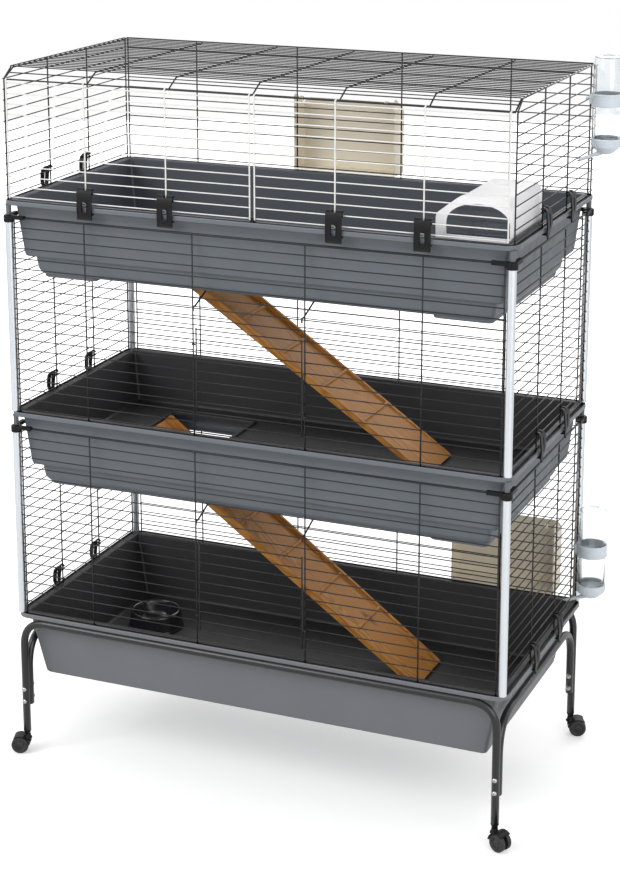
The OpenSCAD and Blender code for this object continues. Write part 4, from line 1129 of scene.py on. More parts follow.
def curl(bm, centre, axis, start, width, wire):
    """A wire end turned into a loop round another wire, as a short coil along the axis."""
    centre, axis, start = Vector(centre), Vector(axis).normalized(), Vector(start).normalized()
    r = wire / 2 + LOOP_GAP + LOOP_WALL / 2
    cross = axis.cross(start)
    turns, steps = 2, 14
    path = []
    for k in range(turns * steps + 1):
        a = 2 * math.pi * k / steps
        along = (k / (turns * steps) - 0.5) * (width - LOOP_WALL)
        path.append(centre + axis * along + (start * math.cos(a) + cross * math.sin(a)) * r)
    sweep(bm, path, LOOP_WALL * 1.15, 8)


def top_door(name, x0, x1, uprights, node, body):
    bm = bmesh.new()
    low = RIMS[2] + FIRST_WIRE
    front = -WALL_Y - STEP
    reach = UPRIGHT_D / 2 + LOOP_GAP + WIRE_D / 2
    for k in range(TOP_DOOR_ROWS + 1):
        h = low + k * TOP_DOOR_PITCH
        sweep(bm, points((x0, -WALL_Y, h), (x1, -WALL_Y, h)), WIRE_D, 8)
    for x in uprights:
        path = points((x, front, low - WIRE_D), (x, front, BEVEL_Z - 4), (x, -WALL_Y - reach, BEVEL_Z + 0.4))
        sweep(bm, rounded(path, 3.0), UPRIGHT_D, 10)
        curl(bm, (x, -WALL_Y, BEVEL_Z), (1, 0, 0), (0, -1, 0), LOOP_L, UPRIGHT_D)
    new_piece(name, bm, ("white_wire",), body, (node,), smooth=50)


def bay_door(storey, z):
    bm = bmesh.new()
    inner = BAY_X - DOOR_SIDE
    back = -WALL_Y + STEP
    for k in range(1, LOW_DOOR_ROWS + 1):
        sweep(bm, points((-inner - 0.5, -WALL_Y, low_row(z, k)), (inner + 0.5, -WALL_Y, low_row(z, k))),
            WIRE_D, 8)
    for x in (-inner, inner):
        sweep(bm, points((x, back, low_row(z, 1) - WIRE_D), (x, back, low_row(z, LOW_DOOR_ROWS) + WIRE_D)),
            UPRIGHT_D)
    for k in (2.5, LOW_DOOR_ROWS - 1.5):
        h = low_row(z, k)
        curl(bm, (-BAY_X, back, h), (0, 0, 1), (1, 0, 0), LOOP_L, UPRIGHT_D)
        sweep(bm, points((-BAY_X + UPRIGHT_D / 2 + LOOP_GAP + LOOP_WALL / 2, back, h), (-inner, back, h)),
            2.2, 8)
    door = f"{storey}_door"
    new_piece(f"{door}_wires", bm, ("black_wire",), door, (door,), smooth=50)


def door_latch(storey, z):
    bm = bmesh.new()
    x = BAY_X - DOOR_SIDE
    back = -WALL_Y + STEP
    front = -WALL_Y - WIRE_D / 2 - UPRIGHT_D / 2 - 0.3
    out = x + UPRIGHT_D / 2 + WIRE_D / 2 + 1.4
    tail = BAY_X + UPRIGHT_D + 2
    first, last = LATCH_ROWS
    lift = WIRE_D / 2 + LOOP_L / 2 + 0.3
    for k in (first, last):
        h = low_row(z, k) + lift
        curl(bm, (x, back, h), (0, 0, 1), (1, 0, 0), LOOP_L, UPRIGHT_D)
        sweep(bm, points((x + UPRIGHT_D / 2 + LOOP_GAP + 1, back - 1, h), (out, front, h)), 2.2, 8)
    low, high = low_row(z, first) - 4, low_row(z, last) + 22
    path = points((tail, front, low), (out, front, low), (out, front, high), (tail, front, high))
    sweep(bm, rounded(path, 2.6), UPRIGHT_D * 0.9, 10)
    latch = f"{storey}_latch"
    new_piece(f"{latch}_wire", bm, ("black_wire",), latch, (latch,), smooth=50)


def make_doors():
    meet = DOOR_GAP / 2 - 1
    top_door("top_door_left_wires", -DOOR_END_X - 1, MEET_X - meet, LEFT_UPRIGHTS, "top_door_left",
        "top_door_left")
    top_door("top_door_right_wires", MEET_X + meet, DOOR_END_X + 1, RIGHT_UPRIGHTS, "top_door_right",
        "top_door_right")
    for level, storey in enumerate(("lower", "middle")):
        bay_door(storey, RIMS[level])
        door_latch(storey, RIMS[level])


# Clips: a plate cut flat, then bent along its profile

CLIP_W = 36.0
CLIP_T = 3.0
TOE_GAP = 3.0
TOE_REACH = 8.0
CLIP_SLOT = 9.0
# Width and height of the hole in a front clip and in an end clip
EYE = (10.5, 27.0)
END_SLOT = (6.5, 31.0)
# How far the end clips' middle bows out
END_BOW = 2.6
TOP_SLOT_H = 12.0


def bent_sheet(bm, outline, hole, profile, thickness):
    """Cut an outline with a hole in the flat, then bend it along a profile of (out, down) points."""
    flat = bmesh.new()
    edges = []
    for loop in (outline, hole):
        verts = [flat.verts.new((x, s, 0.0)) for x, s in loop]
        edges += [flat.edges.new((verts[k], verts[(k + 1) % len(verts)])) for k in range(len(verts))]
    bmesh.ops.triangle_fill(flat, edges=edges, use_beauty=True)
    lengths = [0.0]
    for a, b in zip(profile, profile[1:]):
        lengths.append(lengths[-1] + math.dist(a, b))
    for s in lengths[1:-1]:
        geometry = flat.verts[:] + flat.edges[:] + flat.faces[:]
        bmesh.ops.bisect_plane(flat, geom=geometry, plane_co=(0, s, 0), plane_no=(0, 1, 0), dist=0.0005)
    for x in (-CLIP_W / 2 + 2.0, CLIP_W / 2 - 2.0):
        geometry = flat.verts[:] + flat.edges[:] + flat.faces[:]
        bmesh.ops.bisect_plane(flat, geom=geometry, plane_co=(x, 0, 0), plane_no=(1, 0, 0), dist=0.0005)

    normals = []
    for k in range(len(profile)):
        a = Vector(profile[max(k - 1, 0)])
        b = Vector(profile[min(k + 1, len(profile) - 1)])
        run = (b - a).normalized()
        normals.append(Vector((-run.y, run.x)))

    def bent(x, s, depth):
        k = 0
        while k < len(lengths) - 2 and s > lengths[k + 1] + 0.001:
            k += 1
        t = min(max((s - lengths[k]) / (lengths[k + 1] - lengths[k]), 0.0), 1.0)
        place = Vector(profile[k]).lerp(Vector(profile[k + 1]), t)
        normal = normals[k].lerp(normals[k + 1], t).normalized()
        place = place + normal * depth
        return Vector((x, -place.x, place.y))

    flat.verts.ensure_lookup_table()
    flat.verts.index_update()
    sheets = [[bm.verts.new(bent(v.co.x, v.co.y, d)) for v in flat.verts] for d in (0.0, thickness)]
    for face in flat.faces:
        order = [v.index for v in face.verts]
        bm.faces.new([sheets[0][i] for i in order])
        bm.faces.new([sheets[1][i] for i in reversed(order)])
    rims = []
    for edge in flat.edges:
        if len(edge.link_faces) == 1:
            a, b = (v.index for v in edge.verts)
            rims.append(bm.faces.new((sheets[0][a], sheets[0][b], sheets[1][b], sheets[1][a])))
    flat.free()
    sharp = {e for f in rims for e in f.edges if len(e.link_faces) == 2 and e.calc_face_angle(0.0) > 1.2}
    bmesh.ops.recalc_face_normals(bm, faces=bm.faces)
    bmesh.ops.bevel(bm, geom=list(sharp), offset=0.5, segments=2, profile=0.5, affect="EDGES",
        clamp_overlap=True)


def clip_mesh(name, pivot_h, arched):
    """The clip's wire is at its origin, and the rim's top is pivot_h below."""
    inner = WIRE_INSET + 1.3
    toe = -pivot_h - LIP_H - TOE_GAP
    foot = toe - 14
    back = arc(3.2, 3.4, 5.0, 160, 55, 6)
    bow = END_BOW if arched else 0.0
    profile = back + [(inner + 0.6 + 0.4 * bow, 2.0), (inner + 0.4 + bow, -12.0),
        (inner + 1.4 + bow, -pivot_h + 6),
                (inner + 1.5 + 0.4 * bow, -pivot_h - 6), (inner + 0.8, toe), (inner + 0.6, foot + 3),
                (inner + 1.6, foot)]
    total = sum(math.dist(a, b) for a, b in zip(profile, profile[1:]))
    half = CLIP_W / 2
    slot = CLIP_SLOT / 2
    crown = half * 0.5 if arched else half - 0.4
    if arched:
        right_top = [(half, 24.0), (half * 0.92, 16.0), (half * 0.72, 8.0), (crown, 3.0), (crown, 0.0)]
        right_low = [(1.6, total), (half * 0.2, total - 3.0), (half * 0.44, total - 13.0),
            (half * 0.72, total - 24.0),
                     (half * 0.93, total - 34.0)]
    else:
        right_top = [(half, 3.0), (half - 0.9, 0.9), (half - 3.0, 0.0)]
        right_low = [(half - 2.0, total), (half - 0.6, total - 0.6), (half, total - 2.0)]
    notch = [(slot, 0.0), (slot, TOP_SLOT_H - slot)]
    notch += [(x, y) for x, y in arc(0.0, TOP_SLOT_H - slot, slot, 30, 150, 4)]
    notch += [(-slot, TOP_SLOT_H - slot), (-slot, 0.0)]
    outline = right_low + right_top + notch
    outline += [(-x, y) for x, y in reversed(right_top)] + [(-x, y) for x, y in reversed(right_low)]
    eye_mid = total / 2 - 3 if arched else total - 14 - (LIP_H + TOE_GAP) - 1.0
    eye_w, eye_h = END_SLOT if arched else EYE
    reach = (eye_h - eye_w) / 2
    eye = [(x, y) for x, y in arc(0.0, eye_mid + reach, eye_w / 2, 0, 180, 8)]
    eye += [(x, y) for x, y in arc(0.0, eye_mid - reach, eye_w / 2, 180, 360, 8)]
    bm = bmesh.new()
    bent_sheet(bm, outline, eye, profile, CLIP_T)
    for side in (-1, 1):
        ends = sorted((side * slot, side * crown))
        r = WIRE_D / 2 + LOOP_GAP
        sleeve = [(ends[0], r), (ends[0], r + LOOP_WALL - 0.4), (ends[0] + 0.4, r + LOOP_WALL),
                  (ends[1] - 0.4, r + LOOP_WALL), (ends[1], r + LOOP_WALL - 0.4), (ends[1], r)]
        rings = [[bm.verts.new((x, *point)) for point in circle(radius, 20)] for x, radius in sleeve]
        skin(bm, rings + [rings[0]], caps=(False, False))
    jaw = [(WIRE_INSET - TOE_REACH, toe - CLIP_T), (inner + 1.5, toe - CLIP_T - 0.6), (inner + 1.5, toe),
        (WIRE_INSET - TOE_REACH, toe)]
    jaw_half = half * 0.5 if arched else half - 1
    slab(bm, [(-jaw_half, -out, down) for out, down in jaw], (2 * jaw_half, 0, 0), 0.6)
    if not arched:
        for x in (-half + 1.4, half - 1.4):
            rib = [(inner + CLIP_T - 0.6, -14.0), (inner + CLIP_T + 1.2, -17.0),
                (inner + CLIP_T + 2.0, toe), (inner + CLIP_T, toe)]
            slab(bm, [(x - 0.8, -out, down) for out, down in rib], (1.6, 0, 0), 0.4)
        face = -inner - CLIP_T - 1.5
        ring = [(x * 1.3, face, total + foot - y) for x, y in eye]
        sweep(bm, points(*ring, ring[0], ring[1]), 2.4, 8)
    return finish_mesh(name, bm, ("black_plastic",), 40)


def hang_clip(name, mesh, place, turn, body):
    piece = bpy.data.objects.new(f"{name}_plate", mesh)
    bpy.context.scene.collection.objects.link(piece)
    piece.location = Vector(place) * MM
    piece.rotation_euler = (0.0, 0.0, math.radians(turn))
    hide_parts(name)
    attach(piece, body)


def make_clips():
    door_pivot = FIRST_WIRE + TOP_DOOR_PITCH
    front = clip_mesh("front_clip_shape", door_pivot, False)
    places = [LEFT_UPRIGHTS[1], LEFT_UPRIGHTS[2], RIGHT_UPRIGHTS[1], RIGHT_UPRIGHTS[2]]
    for i, x in enumerate(places, 1):
        hang_clip(f"front_clip_{i}", front, (x, -WALL_Y, RIMS[2] + door_pivot), 0.0, f"front_clip_{i}")
    for level, storey in enumerate(("lower", "middle", "top")):
        pivot = FIRST_WIRE + (TOP_PITCH if storey == "top" else LOW_PITCH)
        shape = clip_mesh(f"{storey}_clip_shape", pivot, True)
        for j in range(4):
            side = -1 if j < 2 else 1
            y = -END_Y if j % 2 == 0 else END_Y
            name = f"{storey}_clip_{j + 1}"
            hang_clip(name, shape, (side * WALL_X, y, RIMS[level] + pivot), side * 90.0, name)


# Stand: bent tubes, plugs and bolts

TUBE_D = 17.5
LEG_Z = 56.0
FRONT_BEND = 60.0
END_BEND = 90.0
END_RAIL_Z = 284.0
END_LEG_Z = 116.0
FRAME_GAP = 0.5
RAIL_TUBE_Z = RIM_Z - LIP_H - 0.3 - TUBE_D / 2
END_LEG_Y = LEG_Y - TUBE_D - FRAME_GAP
BOLT_Z = 129.0
BOLT_PITCH = 30.0
BOLT_D = 5.0
HEAD_D = 11.0


def tube_frame(bm, corners, bend):
    """A bent tube with softened ends."""
    sweep(bm, rounded(corners, bend, 14), TUBE_D, 28, blunt=0.08)


def make_stand():
    for name, side in (("front", -1), ("back", 1)):
        bm = bmesh.new()
        y = side * LEG_Y
        ends = ((-LEG_X, LEG_Z), (-LEG_X, RAIL_TUBE_Z), (LEG_X, RAIL_TUBE_Z), (LEG_X, LEG_Z))
        tube_frame(bm, [(x, y, z) for x, z in ends], FRONT_BEND)
        new_piece(f"stand_{name}_tube", bm, ("stand_steel",), "cage",
            (f"stand_{name}_frame",), smooth=50)
    bm = bmesh.new()
    for x in (-LEG_X, LEG_X):
        ends = ((-END_LEG_Y, END_LEG_Z), (-END_LEG_Y, END_RAIL_Z), (END_LEG_Y, END_RAIL_Z),
            (END_LEG_Y, END_LEG_Z))
        tube_frame(bm, [(x, y, z) for y, z in ends], END_BEND)
        for y in (-END_LEG_Y, END_LEG_Y):
            r = TUBE_D / 2
            cap = [(0, -2.2), (6.5, -2.2), (r - 0.9, -1.2), (r - 0.1, 0.3), (r - 0.1, 1.5), (0, 1.5)]
            lathe(bm, cap, (x, y, END_LEG_Z), 28, 1)
    new_piece("stand_end_tubes", bm, ("stand_steel", "black_plastic"), "cage",
        ("stand_end_frames",), smooth=50)


def make_bolts():
    bm = bmesh.new()
    for side in (-1, 1):
        for x in (-LEG_X, LEG_X):
            for k in range(2):
                z = BOLT_Z + k * BOLT_PITCH
                shape = bmesh.new()
                face = -LEG_Y - TUBE_D / 2
                dome = [(HEAD_D / 2 * math.cos(a), -3.2 * math.sin(a)) for a in (0.0, 0.35, 0.7, 1.05, 1.3)]
                outline = [(0, 0.6), (HEAD_D / 2, 0.6)] + dome + [(1.4, -3.1), (1.2, -2.2), (0, -2.2)]
                lathe(shape, outline, (0, 0, 0), 28)
                grip = 2 * TUBE_D + FRAME_GAP
                outline = [(0, grip), (BOLT_D / 2, grip), (BOLT_D / 2, grip + 7.2),
                    (BOLT_D / 2 - 0.6, grip + 7.8), (0, grip + 7.8)]
                lathe(shape, outline, (0, 0, 0), 20)
                slab(shape, [(*point, grip) for point in circle(0.9 * BOLT_D, 6)], (0, 0, 4.2), 0.4)
                washer = [(0, grip - 0.6), (6.0, grip - 0.6), (6.0, grip + 0.3), (0, grip + 0.3)]
                lathe(shape, washer, (0, 0, 0), 28)
                turn = Matrix.Rotation(math.radians(-90), 4, "X")
                place = Matrix.Translation((x, face, z)) @ turn
                if side > 0:
                    place = Matrix.Rotation(math.pi, 4, "Z") @ place
                shape.transform(place)
                join_shape(bm, shape)
    new_piece("leg_bolt_set", bm, ("bolt_steel",), "cage", ("leg_bolts",), smooth=30)


def make_plugs():
    bm = bmesh.new()
    r = TUBE_D / 2
    low = LEG_Z - 10
    outline = [(0, low), (r - 3.2, low), (r - 2.6, low + 0.4), (r - 0.4, LEG_Z - 2.4)]
    outline += [(r + 0.25, LEG_Z - 1.6), (r + 0.25, LEG_Z - 0.2), (r - 1.2, LEG_Z + 0.2)]
    outline += [(r - 1.8, LEG_Z + 6), (0, LEG_Z + 6)]
    for x in (-LEG_X, LEG_X):
        for y in (-LEG_Y, LEG_Y):
            lathe(bm, outline, (x, y, 0), 32)
    new_piece("leg_plug_set", bm, ("black_plastic",), "cage", ("leg_plugs",))


# Casters

WHEEL_D = 40.0
WHEEL_W = 11.0
WEB_W = 8.0
TRAIL = 17.0
STEM_D = 8.0
SIDE_GAP = 0.5
CASTERS = (("fl", -1, -1, 200.0), ("fr", 1, -1, -25.0), ("bl", -1, 1, 160.0), ("br", 1, 1, 20.0))


def caster_housing(corner, sx, sy, turn):
    bm = bmesh.new()
    r = WHEEL_D / 2
    hood = r + 1.0
    top = 2 * r
    half = WEB_W / 2
    web = [(-6.0, top + 1.0), (-6.5, r + 8.0), (-4.5, r + 2.0)]
    web += [(TRAIL + x, r + z) for x, z in arc(0.0, 0.0, r - 8.0, 200, 400, 12)]
    web += [(TRAIL + 9.0, top - 3.0), (6.0, top + 1.0)]
    slab(bm, [(x, half, z) for x, z in web], (0, -WEB_W, 0), 0.9)
    outer = arc(TRAIL, r, hood + 2.2, 52, 174, 14)
    inner = arc(TRAIL, r, hood, 174, 52, 14)
    wide = WEB_W / 2 + SIDE_GAP + WHEEL_W
    slab(bm, [(x, wide, z) for x, z in outer + inner], (0, -2 * wide, 0), 0.7)
    neck = [(0, top - 5), (STEM_D / 2 + 6.5, top - 5), (STEM_D / 2 + 6.2, top - 2.6),
        (STEM_D / 2 + 4.0, top - 0.4)]
    neck += [(STEM_D / 2 + 3.4, top + 1.4), (STEM_D / 2 + 3.4, LEG_Z - 11.2),
        (STEM_D / 2 + 2.8, LEG_Z - 10.4), (0, LEG_Z - 10.4)]
    lathe(bm, neck, (0, 0, 0), 32)
    place_caster(bm, sx, sy, turn)
    new_piece(f"caster_{corner}_housing", bm, ("black_plastic",), f"caster_{corner}",
        (f"caster_housing_{corner}",), smooth=42)


def caster_wheels(corner, sx, sy, turn):
    bm = bmesh.new()
    r = WHEEL_D / 2
    near = WEB_W / 2 + SIDE_GAP
    for side in (-1, 1):
        half = bmesh.new()
        far = near + WHEEL_W
        outline = [(0, near), (r - 1.6, near), (r - 0.5, near + 0.4), (r, near + 1.5), (r, far - 3.4),
            (r - 0.4, far - 1.9)]
        outline += [(r - 1.6, far - 0.6), (r - 3.2, far), (r - 6.2, far), (r - 7.0, far - 0.5),
            (r - 7.6, far - 2.2)]
        outline += [(7.4, far - 2.4), (6.4, far - 1.2), (4.6, far - 0.8), (4.2, far - 1.4), (0, far - 1.4)]
        lathe(half, outline, (0, 0, 0), 56)
        for k in range(5):
            spin = Matrix.Rotation(2 * math.pi * k / 5, 3, "Z")
            spoke = points((8.0, -1.2, 0), (r - 8.2, -2.4, 0), (r - 8.2, 2.4, 0), (8.0, 1.2, 0))
            slab(half, [spin @ p + Vector((0, 0, far - 2.8)) for p in spoke], (0, 0, 1.7), 0.5)
        half.transform(Matrix.Rotation(math.radians(90 if side > 0 else -90), 4, "X"))
        join_shape(bm, half)
    bm.transform(Matrix.Translation((TRAIL, 0, r)))
    place_caster(bm, sx, sy, turn)
    new_piece(f"caster_{corner}_wheel_pair", bm, ("tread",), f"wheels_{corner}",
        (f"caster_wheels_{corner}",), smooth=40)


def place_caster(bm, sx, sy, turn):
    spin = Matrix.Rotation(math.radians(turn), 4, "Z")
    bm.transform(Matrix.Translation((sx * LEG_X, sy * LEG_Y, 0)) @ spin)


# Ramps

RAMP_L = 869.0
RAMP_W = 160.0
BOARD_T = 9.0
RAIL_T = 7.0
RAIL_TOP_H = 26.0
RAIL_LOW_H = 10.0
CLEAT_PITCH = 121.0
CLEAT_H = 5.0
CLEAT_W = 9.0
RAMP_Y = 62.0
LIFT_X = HATCH[0] - BORDER_W
LIFT_DROP = 3.0
LIFT_REACH = BORDER_W + 7.0
FLOORS = [RIMS[0] - TUB_DEPTH + WALL] + [z - UPPER_DEPTH + WALL for z in RIMS[1:]]


def ramp_slope(level):
    rise = FLOORS[level + 1] + BORDER_H - LIFT_DROP - FLOORS[level] - 0.3
    return math.asin(rise / math.hypot(RAMP_L, BOARD_T)) - math.atan(BOARD_T / RAMP_L)


def ramp(storey, level):
    slope = ramp_slope(level)
    top = FLOORS[level + 1] + BORDER_H
    half = RAMP_W / 2
    bm = bmesh.new()
    block(bm, (0, -half + 0.6, -BOARD_T), (RAMP_L, half - 0.6, 0), 0.9)
    rail = [(0, 0), (RAMP_L, 0), (RAMP_L, RAIL_LOW_H - 4), (RAMP_L - 4, RAIL_LOW_H)]
    rail += [(8, RAIL_TOP_H), (2, RAIL_TOP_H - 2), (0, RAIL_TOP_H - 8)]
    for y in (-half, half - RAIL_T):
        slab(bm, [(x, y, z - BOARD_T) for x, z in rail], (0, RAIL_T, 0), 1.5, 0, 3)
    for k in range(1, int((RAMP_L - 40) / CLEAT_PITCH) + 1):
        x = k * CLEAT_PITCH - 50
        cleat = [(0, -0.5), (CLEAT_W, -0.5), (CLEAT_W - 0.6, CLEAT_H - 1.5), (CLEAT_W - 2.6, CLEAT_H)]
        cleat += [(2.6, CLEAT_H), (0.6, CLEAT_H - 1.5)]
        slab(bm, [(x + a, -half + RAIL_T - 0.5, b) for a, b in cleat], (0, RAMP_W - 2 * RAIL_T + 1, 0), 0.5)
    bm.transform(Matrix.Translation((LIFT_X + LIFT_REACH, RAMP_Y, top - LIFT_DROP)) @ Matrix.Rotation(slope,
        4, "Y"))
    node = f"{storey}_ramp"
    new_piece(f"{node}_boards", bm, ("ramp_wood",), node, (node,), smooth=35)
    bm = bmesh.new()
    for y in (-half + 22, half - 22):
        far = LIFT_X + BORDER_W + 4.5
        near = LIFT_X - 2.4
        hook = points((near, 0, top - 3.6), (near, 0, top + 1.5), (far, 0, top + 1.5), (far, 0, top - 12.0))
        for shift in (-5.0, 5.0):
            sweep(bm, [p + Vector((0, y + shift, 0)) for p in rounded(hook, 2.4)], 1.9, 10)
        block(bm, (far - 0.9, y - 7, top - 13), (far + 0.9, y + 7, top - 4), 0.4)
    new_piece(f"{node}_hooks", bm, ("bolt_steel",), node, (node,))


# Fittings

ROD_D = 4.0
ROD_ROW = 12
RACK = (252.0, 164.0, 60.0)
HOOK_INSET = 20.0
RACK_WALL = 2.5
RACK_R = 20.0
RACK_ROW = 7
RACK_SHIFT = 14.0
BOTTLE_D = 62.0
BOTTLE_L = 180.0
BOTTLE_Y = 244.0
BOTTLE_X = WALL_X + 39.2
RING_H = 28.0
SPOUT_RISE = 44.0
SPOUTS = (low_row(RIMS[0], 0.5), top_row(3.5))
HOLDS = (low_row(RIMS[0], 6), top_row(9))
BOWL = (-420.0, 78.0)
BOWL_D = 136.0
BOWL_H = 45.0
HOUSE_X = 405.0
HOUSE_W = 142.0
HOUSE_L = 210.0
HOUSE_EAVE = 46.0
HOUSE_TOP = 86.0
HOUSE_SLOPE = 52.0
HOUSE_WALL = 3.0
HOUSE_COLLAR = 24.0
HOUSE_FRONT = -(HALF_W - FLANGE_W - UPPER_LEAN[1] - 3.0)


def tray_rods():
    bm = bmesh.new()
    foot_y = TUB_Y - UPPER_LEAN[1] - SKIRT_STEP * 0.7 - SKIRT_FOOT + 8
    for level in range(2):
        for s in (-1, 1):
            x = s * (BAY_X - UPRIGHT_D / 2 - ROD_D / 2 - 0.3)
            wire = low_row(RIMS[level], ROD_ROW)
            over = wire + WIRE_D / 2 + ROD_D / 2 + 0.3
            under = RIMS[level + 1] - UPPER_DEPTH - SKIRT_H - ROD_D / 2 - 0.3
            out = WALL_Y + WIRE_D / 2 + ROD_D / 2 + 0.8
            path = points((x, -out, wire - 6), (x, -out, over), (x, -WALL_Y + 6, over), (x, -foot_y, under),
                          (x, foot_y, under), (x, WALL_Y - 6, over), (x, out, over), (x, out, wire - 6))
            sweep(bm, rounded(path, 3.5), ROD_D, 12)
    new_piece("tray_rod_set", bm, ("black_wire",), "cage", ("tray_rods",), smooth=50)


def door_rest():
    bm = bmesh.new()
    w = DOOR_GAP - UPRIGHT_D - 1.6
    low = RIMS[2] + FOOT
    block(bm, (MEET_X - w / 2, -WALL_Y - 3, low), (MEET_X + w / 2, -WALL_Y + 3, RIMS[2] + FIRST_WIRE + 3),
        1.2)
    block(bm, (MEET_X - w / 2 - 2.4, -WALL_Y - 3.6, low), (MEET_X + w / 2 + 2.4, -WALL_Y + 3.6,
        RIMS[2] + 3), 0.9)
    new_piece("door_rest_block", bm, ("black_plastic",), "cage", ("door_rest",))


def food_bowl():
    bm = bmesh.new()
    foot = BOWL_D / 2
    brim = foot - 9
    outline = [(0, 2.2), (foot - 16, 2.2), (foot - 12, 0.4), (foot - 1.5, 0), (foot - 0.4, 0.5),
        (foot, 1.6), (foot, 2.8), (foot - 0.8, 4.4)]
    outline += [(foot - 2.2, 9), (foot - 4.6, 22), (brim + 2.4, BOWL_H - 7), (brim + 1.2, BOWL_H - 2.6)]
    outline += [(brim - 2 + 3.0 * math.cos(a), BOWL_H - 3 + 3.0 * math.sin(a)) for a in (0.3, 0.9, 1.6, 2.3,
        2.9)]
    outline += [(brim - 7, BOWL_H - 9), (brim - 11, 20), (brim - 15, 10), (brim - 21, 5.8),
        (brim - 27, 4.4), (0, 4)]
    lathe(bm, outline, (BOWL[0], BOWL[1], FLOORS[0] + 0.3), 72)
    new_piece("food_bowl_dish", bm, ("bowl",), "food_bowl", ("food_bowl",))


def house_outline(d):
    z = RIMS[2]
    low = FLOORS[2] + 0.3
    foot = HOUSE_X + HOUSE_W - d
    skip = -d if d > 0 else 0.0
    return [
        (HOUSE_X + d, low + skip), (foot, low + skip), (foot + 12, z - 2), (foot + 22, z + 8),
        (foot + 22, z + HOUSE_EAVE + 20 - d), (foot + 8, z + HOUSE_TOP - d),
        (HOUSE_X + HOUSE_SLOPE + d * 0.4, z + HOUSE_TOP - d), (HOUSE_X + d, z + HOUSE_EAVE - d * 0.5),
    ]


def window_outline(d):
    x0, x1 = HOUSE_X + 24, HOUSE_X + HOUSE_W + 16
    z0 = RIMS[2] + 6
    h = HOUSE_TOP - 20
    mid, w = (x0 + x1) / 2, (x1 - x0) / 2
    arch = [
        (mid + (w + d) * math.cos(a), z0 + h * 0.4 + (h * 0.6 + d) * math.sin(a))
        for a in (math.pi * k / 20 for k in range(21))
    ]
    return [(x0 - d, z0 - d), (x1 + d, z0 - d)] + arch


def softened(outline, radius, steps=4):
    """A closed 2D outline with its corners rounded."""
    count = len(outline)
    out = []
    for k in range(count):
        corner = Vector(outline[k])
        back = Vector(outline[k - 1]) - corner
        ahead = Vector(outline[(k + 1) % count]) - corner
        cut = min(radius, back.length * 0.45, ahead.length * 0.45)
        start, end = corner + back.normalized() * cut, corner + ahead.normalized() * cut
        for i in range(steps + 1):
            t = i / steps
            out.append(tuple(start * (1 - t) ** 2 + corner * 2 * t * (1 - t) + end * t * t))
    return out


def wall_with_hole(bm, outline, hole, y, thick):
    """An upright plate in the XZ plane with one hole, from y to y + thick."""
    sheets = []
    for depth in (y, y + thick):
        loops = [[bm.verts.new((px, depth, pz)) for px, pz in loop] for loop in (outline, hole)]
        fill_between(bm, loops[0], loops[1], 0)
        sheets.append(loops)
    for loop in range(2):
        low, high = sheets[0][loop], sheets[1][loop]
        for k in range(len(low)):
            j = (k + 1) % len(low)
            bm.faces.new((low[k], low[j], high[j], high[k]))


def tunnel(bm, stations):
    """A skin through upright outlines, each at its own depth."""
    rings = [[bm.verts.new((x, y, z)) for x, z in outline] for outline, y in stations]
    skin(bm, rings, caps=(False, False))


def corner_house():
    bm = bmesh.new()
    outer = softened(house_outline(0.0), 9.0)
    inner = softened(house_outline(HOUSE_WALL), 7.0)
    front, back = HOUSE_FRONT, HOUSE_FRONT + HOUSE_L
    lower = softened(house_outline(1.8), 8.0)
    collar = front + HOUSE_COLLAR
    roof = [(inner, front + 1.4), (outer, front + 2.4), (outer, collar - 1), (lower, collar + 1)]
    tunnel(bm, roof + [(lower, back - 2.4), (inner, back - 1.2)])
    tunnel(bm, [(inner, front + 2.0), (inner, back - 2.0)])
    wall_with_hole(bm, softened(house_outline(1.0), 8.0), window_outline(0.2), front, HOUSE_WALL)
    low = FLOORS[2] + 0.3
    doorway = [(HOUSE_X + 20, low + 1.5), (HOUSE_X + 116, low + 1.5)]
    doorway += [(HOUSE_X + 68 + 48 * math.cos(a),
        low + 80 + 46 * math.sin(a)) for a in (math.pi * k / 16 for k in range(17))]
    wall_with_hole(bm, softened(house_outline(1.0), 8.0), doorway, back - HOUSE_WALL, HOUSE_WALL)
    lip, middle, frame = (window_outline(d) for d in (0.2, 1.2, 2.6))
    stations = ((lip, 0.6), (lip, -0.5), (middle, -1.2), (frame, -0.9), (frame, 0.6))
    tunnel(bm, [(outline, front + out) for outline, out in stations])
    new_piece("house_shell", bm, ("house_shell",), "cage", ("corner_house",))
    bm = bmesh.new()
    pane = softened(window_outline(-0.2), 3.0)
    slab(bm, [(x, front + 1.0, z) for x, z in pane], (0, 1.6, 0), 0.3)
    new_piece("house_pane", bm, ("clear_window",), "cage", ("house_window",))


